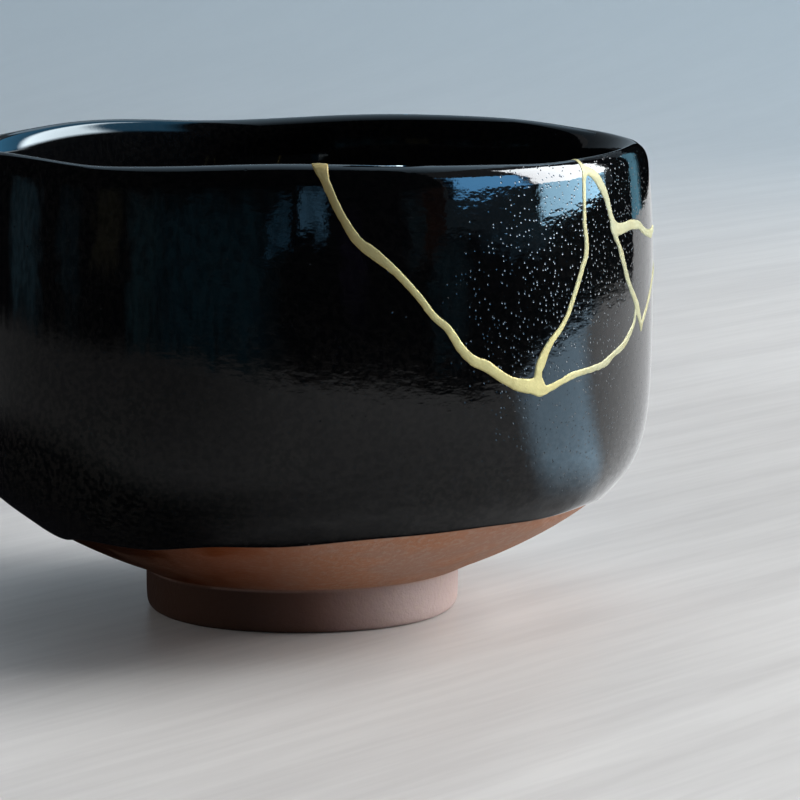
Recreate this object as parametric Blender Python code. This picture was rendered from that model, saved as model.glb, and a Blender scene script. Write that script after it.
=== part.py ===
"""Kintsugi tea bowl: a hand-shaped black tea bowl whose broken rim is joined again with gold lacquer.

The scene is in metres with +Z up. The bowl stands on the XY plane and its turning axis is the Z axis.
Sizes below are in millimetres. Angles are in degrees, from the front of the bowl (-Y) towards +X.
"""

import math

import bmesh
import bpy
import numpy as np
from mathutils import Vector
from mathutils.geometry import interpolate_bezier

MM = 0.001

# Foot ring, the recess under it and the floor inside.
FOOT_RADIUS = 27.3
FOOT_HEIGHT = 7.5
FOOT_CHAMFER = 1.3
FOOT_LEAN = 0.3
FOOT_RING_WIDTH = 6.6
RING_ROUND = 0.5
RECESS_DEPTH = 3.8
RECESS_CORNER_RUN = 1.5
RECESS_CORNER_RISE = 0.7
FLOOR_HEIGHT = 12.4

# Body and lip.
SHOULDER_RADIUS = 55.6
SHOULDER_HEIGHT = 23.1
BELLY_RADIUS = 61.0
BELLY_HEIGHT = 60.8
WALL = 5.2
# The lip is the upper half of an upright ellipse, which the wall meets a little above its middle.
LIP_MIDDLE_RADIUS = 58.2
LIP_MIDDLE_HEIGHT = 76.8
LIP_HALF_THICKNESS = 1.9
LIP_HALF_HEIGHT = 4.1
LIP_START = math.radians(12.0)
LIP_START_REACH = LIP_HALF_THICKNESS * math.cos(LIP_START)
LIP_START_HEIGHT = LIP_MIDDLE_HEIGHT + LIP_HALF_HEIGHT * math.sin(LIP_START)

# The two faces of the wall as (radius, height): a knot, two Bezier handles, the next knot and so on.
OUTER_CURVE = (
    (FOOT_RADIUS, FOOT_HEIGHT),
    (31.4, 8.25),
    (47.3, 14.8),
    (SHOULDER_RADIUS, SHOULDER_HEIGHT),
    (61.2, 28.7),
    (BELLY_RADIUS, 37.1),
    (BELLY_RADIUS, BELLY_HEIGHT),
    (BELLY_RADIUS, 68.0),
    (60.4, 74.1),
    (LIP_MIDDLE_RADIUS + LIP_START_REACH, LIP_START_HEIGHT),
)
INNER_CURVE = (
    (14.0, FLOOR_HEIGHT),
    (24.0, FLOOR_HEIGHT + 0.2),
    (39.6, 18.0),
    (50.0, 27.6),
    (54.8, 32.1),
    (BELLY_RADIUS - WALL, 43.8),
    (BELLY_RADIUS - WALL, BELLY_HEIGHT),
    (BELLY_RADIUS - WALL, 68.8),
    (56.0, 74.1),
    (LIP_MIDDLE_RADIUS - LIP_START_REACH, LIP_START_HEIGHT),
)

# Each wave is a number of lobes round the bowl, a height in millimetres and the angle of one crest.
PLAN_WAVES = ((3, 0.3, 75.0), (4, 0.4, 42.0), (5, 0.5, 40.0))
RIM_WAVES = (
    (1, 0.18, 14.0),
    (2, 0.26, -17.0),
    (3, 0.13, 56.0),
    (4, 0.18, -33.0),
    (5, 0.45, 6.0),
    (8, 0.16, -6.0),
)
# A shallow dip in the rim, or a rise where the depth is negative: its angle, depth and half width in degrees.
RIM_DIPS = ((41.0, 0.35, 9.0), (-34.0, 0.2, 7.0), (88.0, 0.9, 9.0), (112.0, -0.4, 10.0))
# The plan is rounder at the foot, and the rim's waves die out down the wall.
FOOT_SHARE = 0.25
STEADY_BELOW = 5.0
FREE_ABOVE = 25.0
RIM_WAVES_START = 30.0
RIM_WAVES_SPAN = 50.0

# The glaze stops along a wavy line under the shoulder.
GLAZE_STEP = 0.5
GLAZE_EDGE_HEIGHT = 17.8
GLAZE_EDGE_WAVES = ((1, 3.85, 58.0), (4, 0.24, 37.0), (11, 0.27, -11.0), (13, 0.27, 8.0))

# Cracks: (angle, height, width of the gold) along each route, from one end to the other.
CRACKS = {
    "long_crack": (
        (2.9, 84.0, 2.4),
        (2.9, 80.9, 2.4),
        (3.6, 78.8, 1.75),
        (5.5, 74.3, 1.75),
        (8.4, 69.4, 2.0),
        (12.7, 65.9, 1.75),
        (17.8, 60.5, 1.6),
        (22.4, 55.3, 1.95),
        (26.4, 50.1, 2.05),
        (28.8, 48.9, 2.25),
        (31.5, 47.0, 1.95),
        (34.4, 45.6, 2.3),
        (37.9, 45.1, 2.6),
    ),
    "thin_crack": (
        (49.3, 79.8, 1.6),
        (48.8, 78.0, 1.3),
        (48.4, 73.6, 1.15),
        (48.2, 70.0, 1.15),
        (48.5, 67.0, 1.3),
        (47.3, 63.6, 1.2),
        (45.2, 58.8, 1.15),
        (42.6, 54.3, 1.1),
        (40.3, 52.0, 1.3),
        (38.8, 49.4, 1.8),
        (38.0, 45.2, 1.9),
    ),
    "right_crack": (
        (48.6, 84.0, 1.2),
        (48.7, 80.9, 1.2),
        (50.6, 78.9, 1.7),
        (53.2, 76.5, 2.0),
        (55.3, 72.8, 1.7),
        (56.8, 68.8, 1.8),
        (58.3, 66.1, 1.4),
        (60.2, 62.8, 1.5),
        (61.9, 60.0, 1.5),
        (65.4, 56.3, 1.7),
        (67.3, 54.2, 1.9),
        (69.7, 50.7, 1.3),
    ),
    "lower_crack": (
        (37.9, 44.9, 2.2),
        (40.3, 44.6, 1.3),
        (45.4, 46.2, 1.2),
        (52.3, 46.8, 1.35),
        (56.5, 48.1, 1.3),
        (61.0, 49.5, 1.3),
        (65.0, 52.0, 1.35),
        (66.5, 54.6, 1.5),
    ),
    "side_top_crack": (
        (56.6, 69.1, 1.9),
        (60.8, 68.6, 1.8),
        (64.0, 68.7, 1.75),
        (68.2, 68.1, 1.5),
        (71.6, 66.8, 1.3),
        (75.6, 66.0, 1.4),
        (79.5, 65.8, 1.6),
        (84.0, 66.3, 1.4),
        (92.0, 66.0, 1.4),
        (101.0, 64.7, 1.4),
        (110.0, 62.0, 1.5),
    ),
    "side_tail_crack": (
        (69.6, 50.8, 1.3),
        (74.5, 53.9, 1.2),
        (80.0, 57.1, 1.2),
        (87.0, 59.6, 1.2),
        (96.0, 61.2, 1.3),
        (110.0, 62.0, 1.5),
    ),
}
# The three sherds that the cracks part from the body: the (angle, height) of each one's middle.
SHERD_MIDDLES = {
    "front_sherd": (26.0, 66.0),
    "narrow_sherd": (53.0, 60.0),
    "side_sherd": (70.0, 61.0),
}

# The gold fills a groove that is wide at both faces and narrow in the middle of the wall.
GROOVE_WAIST = 0.5
GROOVE_REACH = 4.0
GROOVE_END = 0.35
GROOVE_OPENS_AT = 75.0
GROOVE_OPEN_BY = 79.0
GOLD_PROUD = 0.2
PIECE_GAP = 0.3

# Facets.
SEGMENTS = 64
UNDERSIDE_ROWS = 4
WALL_ROWS = 11
LIP_ROWS = 6
INSIDE_ROWS = 11
CURVE_STEPS = 40
SHARP_EDGE = math.radians(35.0)

# Finishes: colour, roughness and metallic value.
BLACK_GLAZE = ((0.006, 0.006, 0.007, 1.0), 0.12, 0.0)
BARE_CLAY = ((0.145, 0.075, 0.042, 1.0), 0.85, 0.0)
GOLD_LACQUER = ((0.62, 0.5, 0.24, 1.0), 0.5, 1.0)


def clear_scene():
    for thing in list(bpy.data.objects):
        bpy.data.objects.remove(thing, do_unlink=True)


def ease(low, high, value):
    """0 below low, 1 above high and a smooth step between them."""
    share = min(max((value - low) / (high - low), 0.0), 1.0)
    return share * share * (3.0 - 2.0 * share)


def lobes(angle, waves):
    """Sum of cosine waves round the bowl, in millimetres; angle is in radians."""
    return sum(size * math.cos(count * (angle - math.radians(crest))) for count, size, crest in waves)


def dips(angle):
    """Depth of the rim's shallow dips at this angle: a bell curve for each one."""
    depth = 0.0
    for middle, size, half_width in RIM_DIPS:
        away = math.remainder(math.degrees(angle) - middle, 360.0) / half_width
        depth += size * math.exp(-away * away)
    return depth


def shaped(radius, height, angle):
    """The point of a turned form after the potter's hand has bent its plan and its rim."""
    freedom = FOOT_SHARE + (1.0 - FOOT_SHARE) * ease(STEADY_BELOW, FREE_ABOVE, height)
    # The plan waves fade towards the axis, so that the middle of the floor stays one point.
    freedom *= min(radius / FOOT_RADIUS, 1.0)
    rim_share = max((height - RIM_WAVES_START) / RIM_WAVES_SPAN, 0.0)
    bent = radius + freedom * lobes(angle, PLAN_WAVES)
    lifted = height + rim_share * (lobes(angle, RIM_WAVES) - dips(angle))
    return Vector((bent * math.sin(angle), -bent * math.cos(angle), lifted)) * MM


class Outline:
    """A rising chain of Bezier spans that can be read at any share of its length."""

    def __init__(self, curve):
        points = []
        for start in range(0, len(curve) - 1, 3):
            span = [Vector(knot) for knot in curve[start : start + 4]]
            points += interpolate_bezier(*span, CURVE_STEPS)[1 if points else 0 :]
        self.radii, self.heights = np.array(points).T
        steps = np.hypot(np.diff(self.radii), np.diff(self.heights))
        self.shares = np.concatenate(([0.0], np.cumsum(steps))) / steps.sum()

    def at(self, share):
        radius = np.interp(share, self.shares, self.radii)
        height = np.interp(share, self.shares, self.heights)
        return float(radius), float(height)

    def direction(self, share):
        """The unit direction of travel at this share of the length."""
        step = 1.0 / len(self.shares)
        travel = Vector(self.at(share + step)) - Vector(self.at(share - step))
        return travel.normalized()

    def share_at_height(self, height):
        return float(np.interp(height, self.heights, self.shares))

    def radius_at_height(self, height):
        return float(np.interp(height, self.heights, self.radii))


OUTER = Outline(OUTER_CURVE)
INNER = Outline(INNER_CURVE)


def glaze_edge_height(angle):
    return GLAZE_EDGE_HEIGHT + lobes(angle, GLAZE_EDGE_WAVES)


def fixed_row(radius, height):
    """A row of the bowl's skin that has the same radius and height all the way round."""
    return lambda angle: (radius, height)


def clay_row(step):
    """A row of bare clay between the foot and the glaze edge, where it lies one glaze thickness deeper."""

    def place(angle):
        share = OUTER.share_at_height(glaze_edge_height(angle)) * step / UNDERSIDE_ROWS
        radius, height = OUTER.at(share)
        along = OUTER.direction(share)
        depth = GLAZE_STEP * step / UNDERSIDE_ROWS
        return radius - depth * along.y, height + depth * along.x

    return place


def glazed_row(step):
    """A row of the glazed wall between the glaze edge and the lip."""

    def place(angle):
        start = OUTER.share_at_height(glaze_edge_height(angle))
        return OUTER.at(start + (1.0 - start) * step / WALL_ROWS)

    return place


def foot_rows():
    """From the recess, over its corner and the ring that the bowl stands on, up the side of the foot."""
    recess_radius = FOOT_RADIUS - FOOT_RING_WIDTH
    return [
        fixed_row(recess_radius - RECESS_CORNER_RUN, RECESS_DEPTH),
        fixed_row(recess_radius, RECESS_DEPTH - RECESS_CORNER_RISE),
        fixed_row(recess_radius + RING_ROUND, RING_ROUND),
        fixed_row(recess_radius + 2.0 * RING_ROUND, 0.0),
        fixed_row(FOOT_RADIUS - FOOT_CHAMFER, 0.0),
        fixed_row(FOOT_RADIUS - FOOT_LEAN, FOOT_CHAMFER - FOOT_LEAN),
        fixed_row(FOOT_RADIUS, 2.0 * FOOT_CHAMFER),
    ]


def lip_rows():
    """The upper part of an ellipse from the outer face of the wall, over the rim, to the inner face."""
    rows = []
    for step in range(LIP_ROWS + 1):
        turn = LIP_START + (math.pi - 2.0 * LIP_START) * step / LIP_ROWS
        radius = LIP_MIDDLE_RADIUS + LIP_HALF_THICKNESS * math.cos(turn)
        height = LIP_MIDDLE_HEIGHT + LIP_HALF_HEIGHT * math.sin(turn)
        rows.append(fixed_row(radius, height))
    return rows


def bowl_rows():
    """All rows of the bowl's skin, from the recess under the foot to the floor inside."""
    rows = foot_rows()
    rows += [clay_row(step) for step in range(UNDERSIDE_ROWS + 1)]
    rows += [glazed_row(step) for step in range(WALL_ROWS)]
    rows += lip_rows()
    rows += [fixed_row(*INNER.at(1.0 - step / INSIDE_ROWS)) for step in range(1, INSIDE_ROWS + 1)]
    return rows


def around(count):
    """Each place on a closed ring of this many points, with the place after it."""
    return [(here, (here + 1) % count) for here in range(count)]


def join_rings(shell, rings):
    for lower, upper in zip(rings, rings[1:]):
        for here, after in around(len(lower)):
            shell.faces.new((lower[here], lower[after], upper[after], upper[here]))


def close_skin(shell):
    bmesh.ops.triangulate(shell, faces=shell.faces[:])
    bmesh.ops.recalc_face_normals(shell, faces=shell.faces[:])


def unbroken_bowl(name):
    """The whole bowl before it broke: rings of points joined by faces, with a fan at each pole."""
    shell = bmesh.new()
    angles = [2.0 * math.pi * step / SEGMENTS for step in range(SEGMENTS)]
    rings = [[shell.verts.new(shaped(*row(angle), angle)) for angle in angles] for row in bowl_rows()]
    join_rings(shell, rings)
    for ring, height in ((rings[0], RECESS_DEPTH), (rings[-1], FLOOR_HEIGHT)):
        middle = shell.verts.new(Vector((0.0, 0.0, height)) * MM)
        for here, after in around(SEGMENTS):
            shell.faces.new((middle, ring[here], ring[after]))
    close_skin(shell)
    return as_object(shell, name)


def as_object(shell, name):
    mesh = bpy.data.meshes.new(name)
    shell.to_mesh(mesh)
    shell.free()
    thing = bpy.data.objects.new(name, mesh)
    bpy.context.scene.collection.objects.link(thing)
    return thing


def swell(thing, distance):
    """Move every point of a closed skin outwards along its own normal, by a distance in millimetres."""
    shell = bmesh.new()
    shell.from_mesh(thing.data)
    shell.normal_update()
    for point in shell.verts:
        point.co += point.normal * distance * MM
    shell.to_mesh(thing.data)
    shell.free()


def groove_section(width, height, grow):
    """A groove's closed section as (sideways, outwards) points from the middle of the wall's outer face."""
    thickness = OUTER.radius_at_height(height) - INNER.radius_at_height(height)
    # Near the rim the waist widens to the full width, so that the gold runs over the lip as one band.
    waist = GROOVE_WAIST + (width - GROOVE_WAIST) * ease(GROOVE_OPENS_AT, GROOVE_OPEN_BY, height)
    half = 0.5 * width + grow
    half_waist = 0.5 * waist + grow
    side = [
        (half, GROOVE_REACH),
        (half, 0.0),
        (half_waist, -0.5 * thickness),
        (half, -thickness),
        (half, -thickness - GROOVE_REACH),
    ]
    return side + [(-sideways, outwards) for sideways, outwards in reversed(side)]


def groove(name, route, grow):
    """A solid that follows one crack right through the wall, grown by the given gap."""
    radii = [OUTER.radius_at_height(height) for _, height, _ in route]
    path = [shaped(radius, height, math.radians(angle)) for radius, (angle, height, _) in zip(radii, route)]
    runs = [(after - before).normalized() for before, after in zip(path, path[1:])]
    travels = [(before + after).normalized() for before, after in zip(runs[:1] + runs, runs + runs[-1:])]
    path[0] -= travels[0] * (GROOVE_END + grow) * MM
    path[-1] += travels[-1] * (GROOVE_END + grow) * MM
    shell = bmesh.new()
    sections = []
    for point, travel, (angle, height, width) in zip(path, travels, route):
        out = Vector((math.sin(math.radians(angle)), -math.cos(math.radians(angle)), 0.0))
        across = travel.cross(out).normalized()
        corners = groove_section(width, height, grow)
        spots = [point + (across * sideways + out * outwards) * MM for sideways, outwards in corners]
        sections.append([shell.verts.new(spot) for spot in spots])
    join_rings(shell, sections)
    shell.faces.new(sections[0])
    shell.faces.new(sections[-1])
    close_skin(shell)
    thing = as_object(shell, name)
    thing.hide_render = True
    thing.display_type = "WIRE"
    return thing


def add_boolean(thing, operation, other):
    step = thing.modifiers.new(f"{operation.lower()} {other.name}", "BOOLEAN")
    step.operation = operation
    step.solver = "EXACT"
    step.object = other


def evaluated_mesh(thing):
    """A mesh of the object with all its modifiers carried out."""
    bpy.context.view_layer.update()
    graph = bpy.context.evaluated_depsgraph_get()
    return bpy.data.meshes.new_from_object(thing.evaluated_get(graph))


def remove_helpers(helpers):
    for helper in helpers:
        bpy.data.objects.remove(helper, do_unlink=True)


def connected_faces(first, waiting):
    """All waiting faces that can be reached from the first one across shared edges."""
    body = {first}
    front = [first]
    while front:
        for edge in front.pop().edges:
            for neighbour in edge.link_faces:
                if neighbour in waiting:
                    waiting.remove(neighbour)
                    body.add(neighbour)
                    front.append(neighbour)
    return body


def loose_pieces(mesh):
    """One bmesh for each separate body in the mesh, the largest first."""
    whole = bmesh.new()
    whole.from_mesh(mesh)
    waiting = set(whole.faces)
    pieces = []
    while waiting:
        kept = {face.index for face in connected_faces(waiting.pop(), waiting)}
        piece = whole.copy()
        others = [face for face in piece.faces if face.index not in kept]
        bmesh.ops.delete(piece, geom=others, context="FACES")
        pieces.append(piece)
    whole.free()
    return sorted(pieces, key=lambda piece: -piece.calc_volume())


def angle_of(point):
    """The angle of a point round the bowl, in radians."""
    return math.atan2(point.x, -point.y)


def sherd_name(shell):
    """The name of the sherd whose stated middle is the nearest to the middle of this one."""
    middle = sum((point.co for point in shell.verts), Vector()) / len(shell.verts)
    here = (math.degrees(angle_of(middle)), middle.z / MM)
    return min(SHERD_MIDDLES, key=lambda name: math.dist(SHERD_MIDDLES[name], here))


def broken_bowl():
    """The whole bowl cut along every crack, as one object for each piece that it falls into."""
    whole = unbroken_bowl("whole_bowl")
    saws = [groove(f"{name}_saw", route, PIECE_GAP) for name, route in CRACKS.items()]
    for saw in saws:
        add_boolean(whole, "DIFFERENCE", saw)
    pieces = loose_pieces(evaluated_mesh(whole))
    remove_helpers([whole] + saws)
    body = as_object(pieces[0], "bowl_body")
    sherds = [as_object(piece, sherd_name(piece)) for piece in pieces[1:]]
    return body, sherds


def gold_network():
    """The gold: every groove joined into one, kept where it lies in the wall or just proud of it."""
    swollen = unbroken_bowl("swollen_bowl")
    swell(swollen, GOLD_PROUD)
    fills = [groove(f"{name}_fill", route, 0.0) for name, route in CRACKS.items()]
    for other in fills[1:]:
        add_boolean(fills[0], "UNION", other)
    add_boolean(fills[0], "INTERSECT", swollen)
    mesh = evaluated_mesh(fills[0])
    remove_helpers([swollen] + fills)
    network = bpy.data.objects.new("gold_seam", mesh)
    bpy.context.scene.collection.objects.link(network)
    return network


def plain_material(name, colour, roughness, metallic):
    material = bpy.data.materials.new(name)
    material.use_nodes = True
    shader = material.node_tree.nodes["Principled BSDF"]
    shader.inputs["Base Color"].default_value = colour
    shader.inputs["Roughness"].default_value = roughness
    shader.inputs["Metallic"].default_value = metallic
    return material


def finish(thing, *materials):
    thing.data.materials.clear()
    for material in materials:
        thing.data.materials.append(material)
    thing.data.shade_smooth()
    thing.data.set_sharp_from_angle(angle=SHARP_EDGE)


def bare_the_clay(body):
    """Give the second material to the faces below the glaze edge: the underside and the foot."""
    for face in body.data.polygons:
        edge = glaze_edge_height(angle_of(face.center)) * MM
        looks_down = face.normal.z < 0.5
        face.material_index = int(looks_down and face.center.z < edge)


def main():
    clear_scene()
    glaze = plain_material("black_glaze", *BLACK_GLAZE)
    clay = plain_material("bare_clay", *BARE_CLAY)
    gold = plain_material("gold_lacquer", *GOLD_LACQUER)
    body, sherds = broken_bowl()
    finish(body, glaze, clay)
    bare_the_clay(body)
    for sherd in sherds:
        finish(sherd, glaze)
    finish(gold_network(), gold)


main()
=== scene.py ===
"""Kintsugi tea bowl: the looks of a black hand-shaped tea bowl whose broken rim is joined with gold lacquer.

The wall is worked out on a flat sheet: one direction runs round the bowl, the other rises up the wall. The
sheet is cut along the cracks, and both faces of the wall are then bent out of it. Lengths in the formulas are
in millimetres and angles in radians from the front of the bowl (-Y) towards +X; the meshes are in metres.
"""

import math

import bmesh
import bpy
import numpy as np
from bpy.props import FloatProperty, FloatVectorProperty, PointerProperty
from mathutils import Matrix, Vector


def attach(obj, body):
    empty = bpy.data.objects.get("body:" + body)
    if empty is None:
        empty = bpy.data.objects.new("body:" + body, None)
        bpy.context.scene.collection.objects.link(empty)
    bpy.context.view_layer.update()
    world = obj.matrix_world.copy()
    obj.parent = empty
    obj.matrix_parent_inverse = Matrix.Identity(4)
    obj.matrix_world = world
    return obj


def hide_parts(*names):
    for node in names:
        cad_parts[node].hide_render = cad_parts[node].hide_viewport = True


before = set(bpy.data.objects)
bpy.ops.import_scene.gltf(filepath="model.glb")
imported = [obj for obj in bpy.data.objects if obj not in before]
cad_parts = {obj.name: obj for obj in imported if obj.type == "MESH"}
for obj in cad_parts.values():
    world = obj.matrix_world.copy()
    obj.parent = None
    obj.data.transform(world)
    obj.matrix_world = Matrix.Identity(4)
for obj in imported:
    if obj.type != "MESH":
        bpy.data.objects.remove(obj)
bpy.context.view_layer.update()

bl_info = {
    "name": "Kintsugi Tea Bowl",
    "version": (1, 0, 0),
    "blender": (4, 5, 0),
    "location": "View3D > Sidebar > Tea Bowl",
    "description": "Builds a black tea bowl joined with gold lacquer, and a plain studio round it",
    "category": "Object",
}

MM = 0.001
TAU = 2.0 * math.pi

# ---------------------------------------------------------------------------------------------- form

# Outlines as (radius, height) in millimetres: a knot, two Bezier handles, the next knot and so on.
FOOT_RADIUS = 27.3
FOOT_HEIGHT = 7.5
RECESS_DEPTH = 3.8
FLOOR_HEIGHT = 12.4
# The lip is the upper half of an upright ellipse, which the wall meets a little above its middle.
LIP_RADIUS = 58.2
LIP_MIDDLE = 76.8
LIP_HALF = 1.9
LIP_TALL = 4.1
LIP_START = math.radians(12.0)
LIP_START_REACH = LIP_HALF * math.cos(LIP_START)
LIP_HEIGHT = LIP_MIDDLE + LIP_TALL * math.sin(LIP_START)
CREST_HEIGHT = LIP_MIDDLE + LIP_TALL
# From the middle of the recess, over the ring that the bowl stands on, up the side of the foot.
FOOT_CURVE = (
    (0.0, RECESS_DEPTH),
    (6.0, RECESS_DEPTH),
    (12.0, RECESS_DEPTH),
    (18.6, RECESS_DEPTH),
    (19.9, RECESS_DEPTH),
    (20.6, 3.3),
    (20.9, 2.0),
    (21.1, 1.1),
    (21.4, 0.2),
    (22.1, 0.0),
    (23.3, 0.0),
    (24.6, 0.0),
    (25.8, 0.0),
    (26.6, 0.1),
    (27.0, 0.6),
    (27.15, 1.5),
    (27.35, 3.4),
    (27.2, 5.6),
    (FOOT_RADIUS, FOOT_HEIGHT),
)
FOOT_STEPS = (10, 6, 5, 3, 6, 8)
OUTER_CURVE = (
    (FOOT_RADIUS, FOOT_HEIGHT),
    (31.4, 8.25),
    (47.3, 14.8),
    (55.6, 23.1),
    (61.2, 28.7),
    (61.0, 37.1),
    (61.0, 60.8),
    (61.0, 68.0),
    (60.4, 74.1),
    (LIP_RADIUS + LIP_START_REACH, LIP_HEIGHT),
)
INNER_CURVE = (
    (0.0, FLOOR_HEIGHT),
    (5.0, FLOOR_HEIGHT),
    (10.0, FLOOR_HEIGHT),
    (14.0, FLOOR_HEIGHT),
    (24.0, FLOOR_HEIGHT + 0.2),
    (39.6, 18.0),
    (50.0, 27.6),
    (54.8, 32.1),
    (55.8, 43.8),
    (55.8, 60.8),
    (55.8, 68.8),
    (56.0, 74.1),
    (LIP_RADIUS - LIP_START_REACH, LIP_HEIGHT),
)
CURVE_STEPS = 48

# Each wave is a number of lobes round the bowl, a size in millimetres and the angle of one crest in degrees.
PLAN_WAVES = ((3, 0.3, 75.0), (4, 0.4, 42.0), (5, 0.5, 40.0))
RIM_WAVES = (
    (1, 0.18, 14.0),
    (2, 0.26, -17.0),
    (3, 0.13, 56.0),
    (4, 0.18, -33.0),
    (5, 0.45, 6.0),
    (8, 0.16, -6.0),
)
# A shallow dip in the rim, or a rise where the depth is negative: its angle, depth and half width in
# degrees.
RIM_DIPS = ((41.0, 0.35, 9.0), (-34.0, 0.2, 7.0), (88.0, 0.9, 9.0), (112.0, -0.4, 10.0))
FOOT_SHARE = 0.25
STEADY_BELOW = 5.0
FREE_ABOVE = 25.0
RIM_WAVES_START = 30.0
RIM_WAVES_SPAN = 50.0
GLAZE_EDGE_HEIGHT = 17.8
GLAZE_EDGE_WAVES = ((1, 3.85, 58.0), (4, 0.24, 37.0), (11, 0.27, -11.0), (13, 0.27, 8.0))

# The rolled edge of the glaze: how far up the wall from the edge, and how high it lies over the glazed face.
GLAZE_ROLL = (
    (0.0, -0.5),
    (-0.16, -0.36),
    (-0.2, -0.18),
    (-0.1, 0.0),
    (0.15, 0.12),
    (0.6, 0.2),
    (1.4, 0.17),
    (2.8, 0.08),
    (5.0, 0.0),
)

# Cracks: (angle in degrees, height in millimetres, width of the gold in millimetres) along each route.
LONG_CRACK = (
    (2.9, 84.0, 2.9),
    (2.95, 80.9, 2.8),
    (3.6, 78.8, 1.65),
    (4.4, 76.8, 1.45),
    (5.5, 74.3, 1.4),
    (6.8, 71.9, 1.4),
    (8.4, 69.4, 1.6),
    (10.8, 67.4, 1.9),
    (12.7, 65.9, 1.6),
    (15.1, 63.6, 1.25),
    (17.8, 60.5, 1.25),
    (20.2, 57.3, 1.3),
    (22.4, 55.3, 1.35),
    (24.3, 52.3, 1.55),
    (26.4, 50.1, 1.75),
    (28.8, 48.9, 1.9),
    (31.5, 47.0, 1.75),
    (34.4, 45.6, 2.15),
    (37.9, 45.1, 2.7),
)
THIN_CRACK = (
    (49.5, 79.4, 1.1),
    (48.9, 78.4, 1.05),
    (48.6, 76.4, 1.0),
    (48.4, 73.6, 1.0),
    (48.2, 70.6, 1.05),
    (48.5, 68.0, 1.15),
    (48.3, 65.5, 1.2),
    (47.3, 63.5, 1.1),
    (46.2, 60.9, 1.15),
    (45.2, 58.8, 1.1),
    (44.1, 56.5, 1.05),
    (42.5, 54.2, 1.05),
    (40.9, 52.7, 1.2),
    (39.7, 51.2, 1.5),
    (38.7, 49.3, 1.9),
    (38.0, 47.4, 1.6),
    (37.9, 45.1, 1.7),
)
RIGHT_CRACK = (
    (48.6, 84.0, 0.85),
    (48.7, 80.9, 0.9),
    (48.9, 80.0, 1.05),
    (49.6, 79.3, 1.35),
    (51.1, 78.5, 1.75),
    (52.2, 77.7, 1.95),
    (53.2, 76.5, 1.95),
    (54.1, 75.3, 1.85),
    (54.8, 74.1, 1.7),
    (55.3, 72.8, 1.55),
    (55.8, 71.3, 1.45),
    (56.4, 70.1, 1.5),
    (56.9, 68.8, 1.7),
    (57.2, 67.4, 1.25),
    (58.2, 66.3, 1.15),
    (59.2, 64.6, 1.55),
    (60.2, 62.8, 1.35),
    (61.3, 60.8, 1.45),
    (63.1, 58.5, 1.4),
    (65.4, 56.3, 1.6),
    (67.1, 54.4, 2.0),
    (68.8, 52.2, 1.6),
    (69.6, 50.8, 0.9),
)
LOWER_CRACK = (
    (37.9, 44.9, 2.4),
    (38.7, 44.3, 1.8),
    (40.3, 44.6, 1.3),
    (42.4, 45.3, 1.15),
    (45.4, 46.2, 1.25),
    (48.7, 46.5, 1.1),
    (52.3, 46.8, 1.2),
    (54.3, 47.2, 1.45),
    (56.5, 48.1, 1.15),
    (60.3, 49.2, 1.3),
    (62.8, 50.5, 1.25),
    (65.2, 52.2, 1.1),
    (65.9, 53.8, 1.1),
    (66.7, 54.9, 1.4),
)
SIDE_TOP_CRACK = (
    (56.6, 69.2, 2.1),
    (58.6, 68.6, 2.1),
    (60.8, 68.6, 1.9),
    (64.0, 68.7, 1.75),
    (68.2, 68.1, 1.5),
    (71.6, 66.8, 1.3),
    (75.6, 66.0, 1.35),
    (79.5, 65.8, 1.7),
    (83.0, 66.3, 1.5),
    (90.0, 66.2, 1.3),
    (98.0, 65.2, 1.3),
    (105.0, 63.6, 1.3),
    (110.0, 62.0, 1.4),
)
SIDE_TAIL_CRACK = (
    (69.6, 50.8, 0.9),
    (71.3, 52.2, 1.1),
    (74.5, 53.9, 1.2),
    (78.0, 56.0, 1.2),
    (82.0, 58.0, 1.2),
    (87.0, 59.6, 1.2),
    (94.0, 60.9, 1.2),
    (102.0, 61.6, 1.2),
    (110.0, 62.0, 1.4),
)
ROUTE_STEPS = 6

# How closely the surfaces are divided, in points or in millimetres.
ROUND_STEPS = 384
CLAY_ROWS = 16
CLAY_DROP = 0.2
WALL_ROWS = 26
LIP_ROWS = 9
INSIDE_ROWS = 46
SHEET_START = 40.0
SHEET_PITCH = 1.05
SHERD_PITCH = 0.42
GOLD_PITCH = 0.14
NEAR = 0.05
LEAST_RING = 1.0
WELD = 4e-6
# No cut passes closer to a grid point than this share of the pitch, so that it leaves no slivers.
SLIVER_SHARE = 0.05
GOLD_SLIVER_SHARE = 0.08
SHARP_ANGLE = math.radians(50.0)

# The join: half of the gap between two sherds, how far the gold sinks into the glaze at its edge, the width
# of its rounded shoulder, the reach of the fillets where cracks meet and how far its edge wavers.
HALF_GAP = 0.05
SEAM_SINK = 0.07
SEAM_SHOULDER = 0.34
SEAM_FILLET = 0.8
SEAM_WAVER = 0.11
SEAM_REACH = 3.0
# How much taller the gold grows with each millimetre inside its shoulder, as a share of its height.
SEAM_CROWN = 0.35

# Layers of noise. Each has a share of the whole, a pitch in millimetres, as one number or as one along x, y
# and z, and a seed.
WALL_LAYERS = (
    (1.0, (24.0, 24.0, 50.0), 11),
    (0.22, (8.0, 8.0, 13.0), 12),
    (0.07, (3.6, 3.6, 5.0), 13),
)
CLAY_LAYERS = ((0.25, (9.0, 9.0, 4.0), 14),)
WAVER_LAYERS = ((0.4, 3.2, 21), (0.6, 0.9, 22))
BRUSH_LAYERS = ((0.3, 4.5, 23), (0.14, 1.2, 24))
NOISE_LATTICE = 32
NOISE_SHIFT = 100.5
NOISE_GAIN = 1.6
# The turning rings on the clay: their share, their pitch and the radii between which they set in.
RING_SHARE = 0.04
RING_PITCH = 1.9
RINGS_FROM = (3.0, 12.0)
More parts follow.
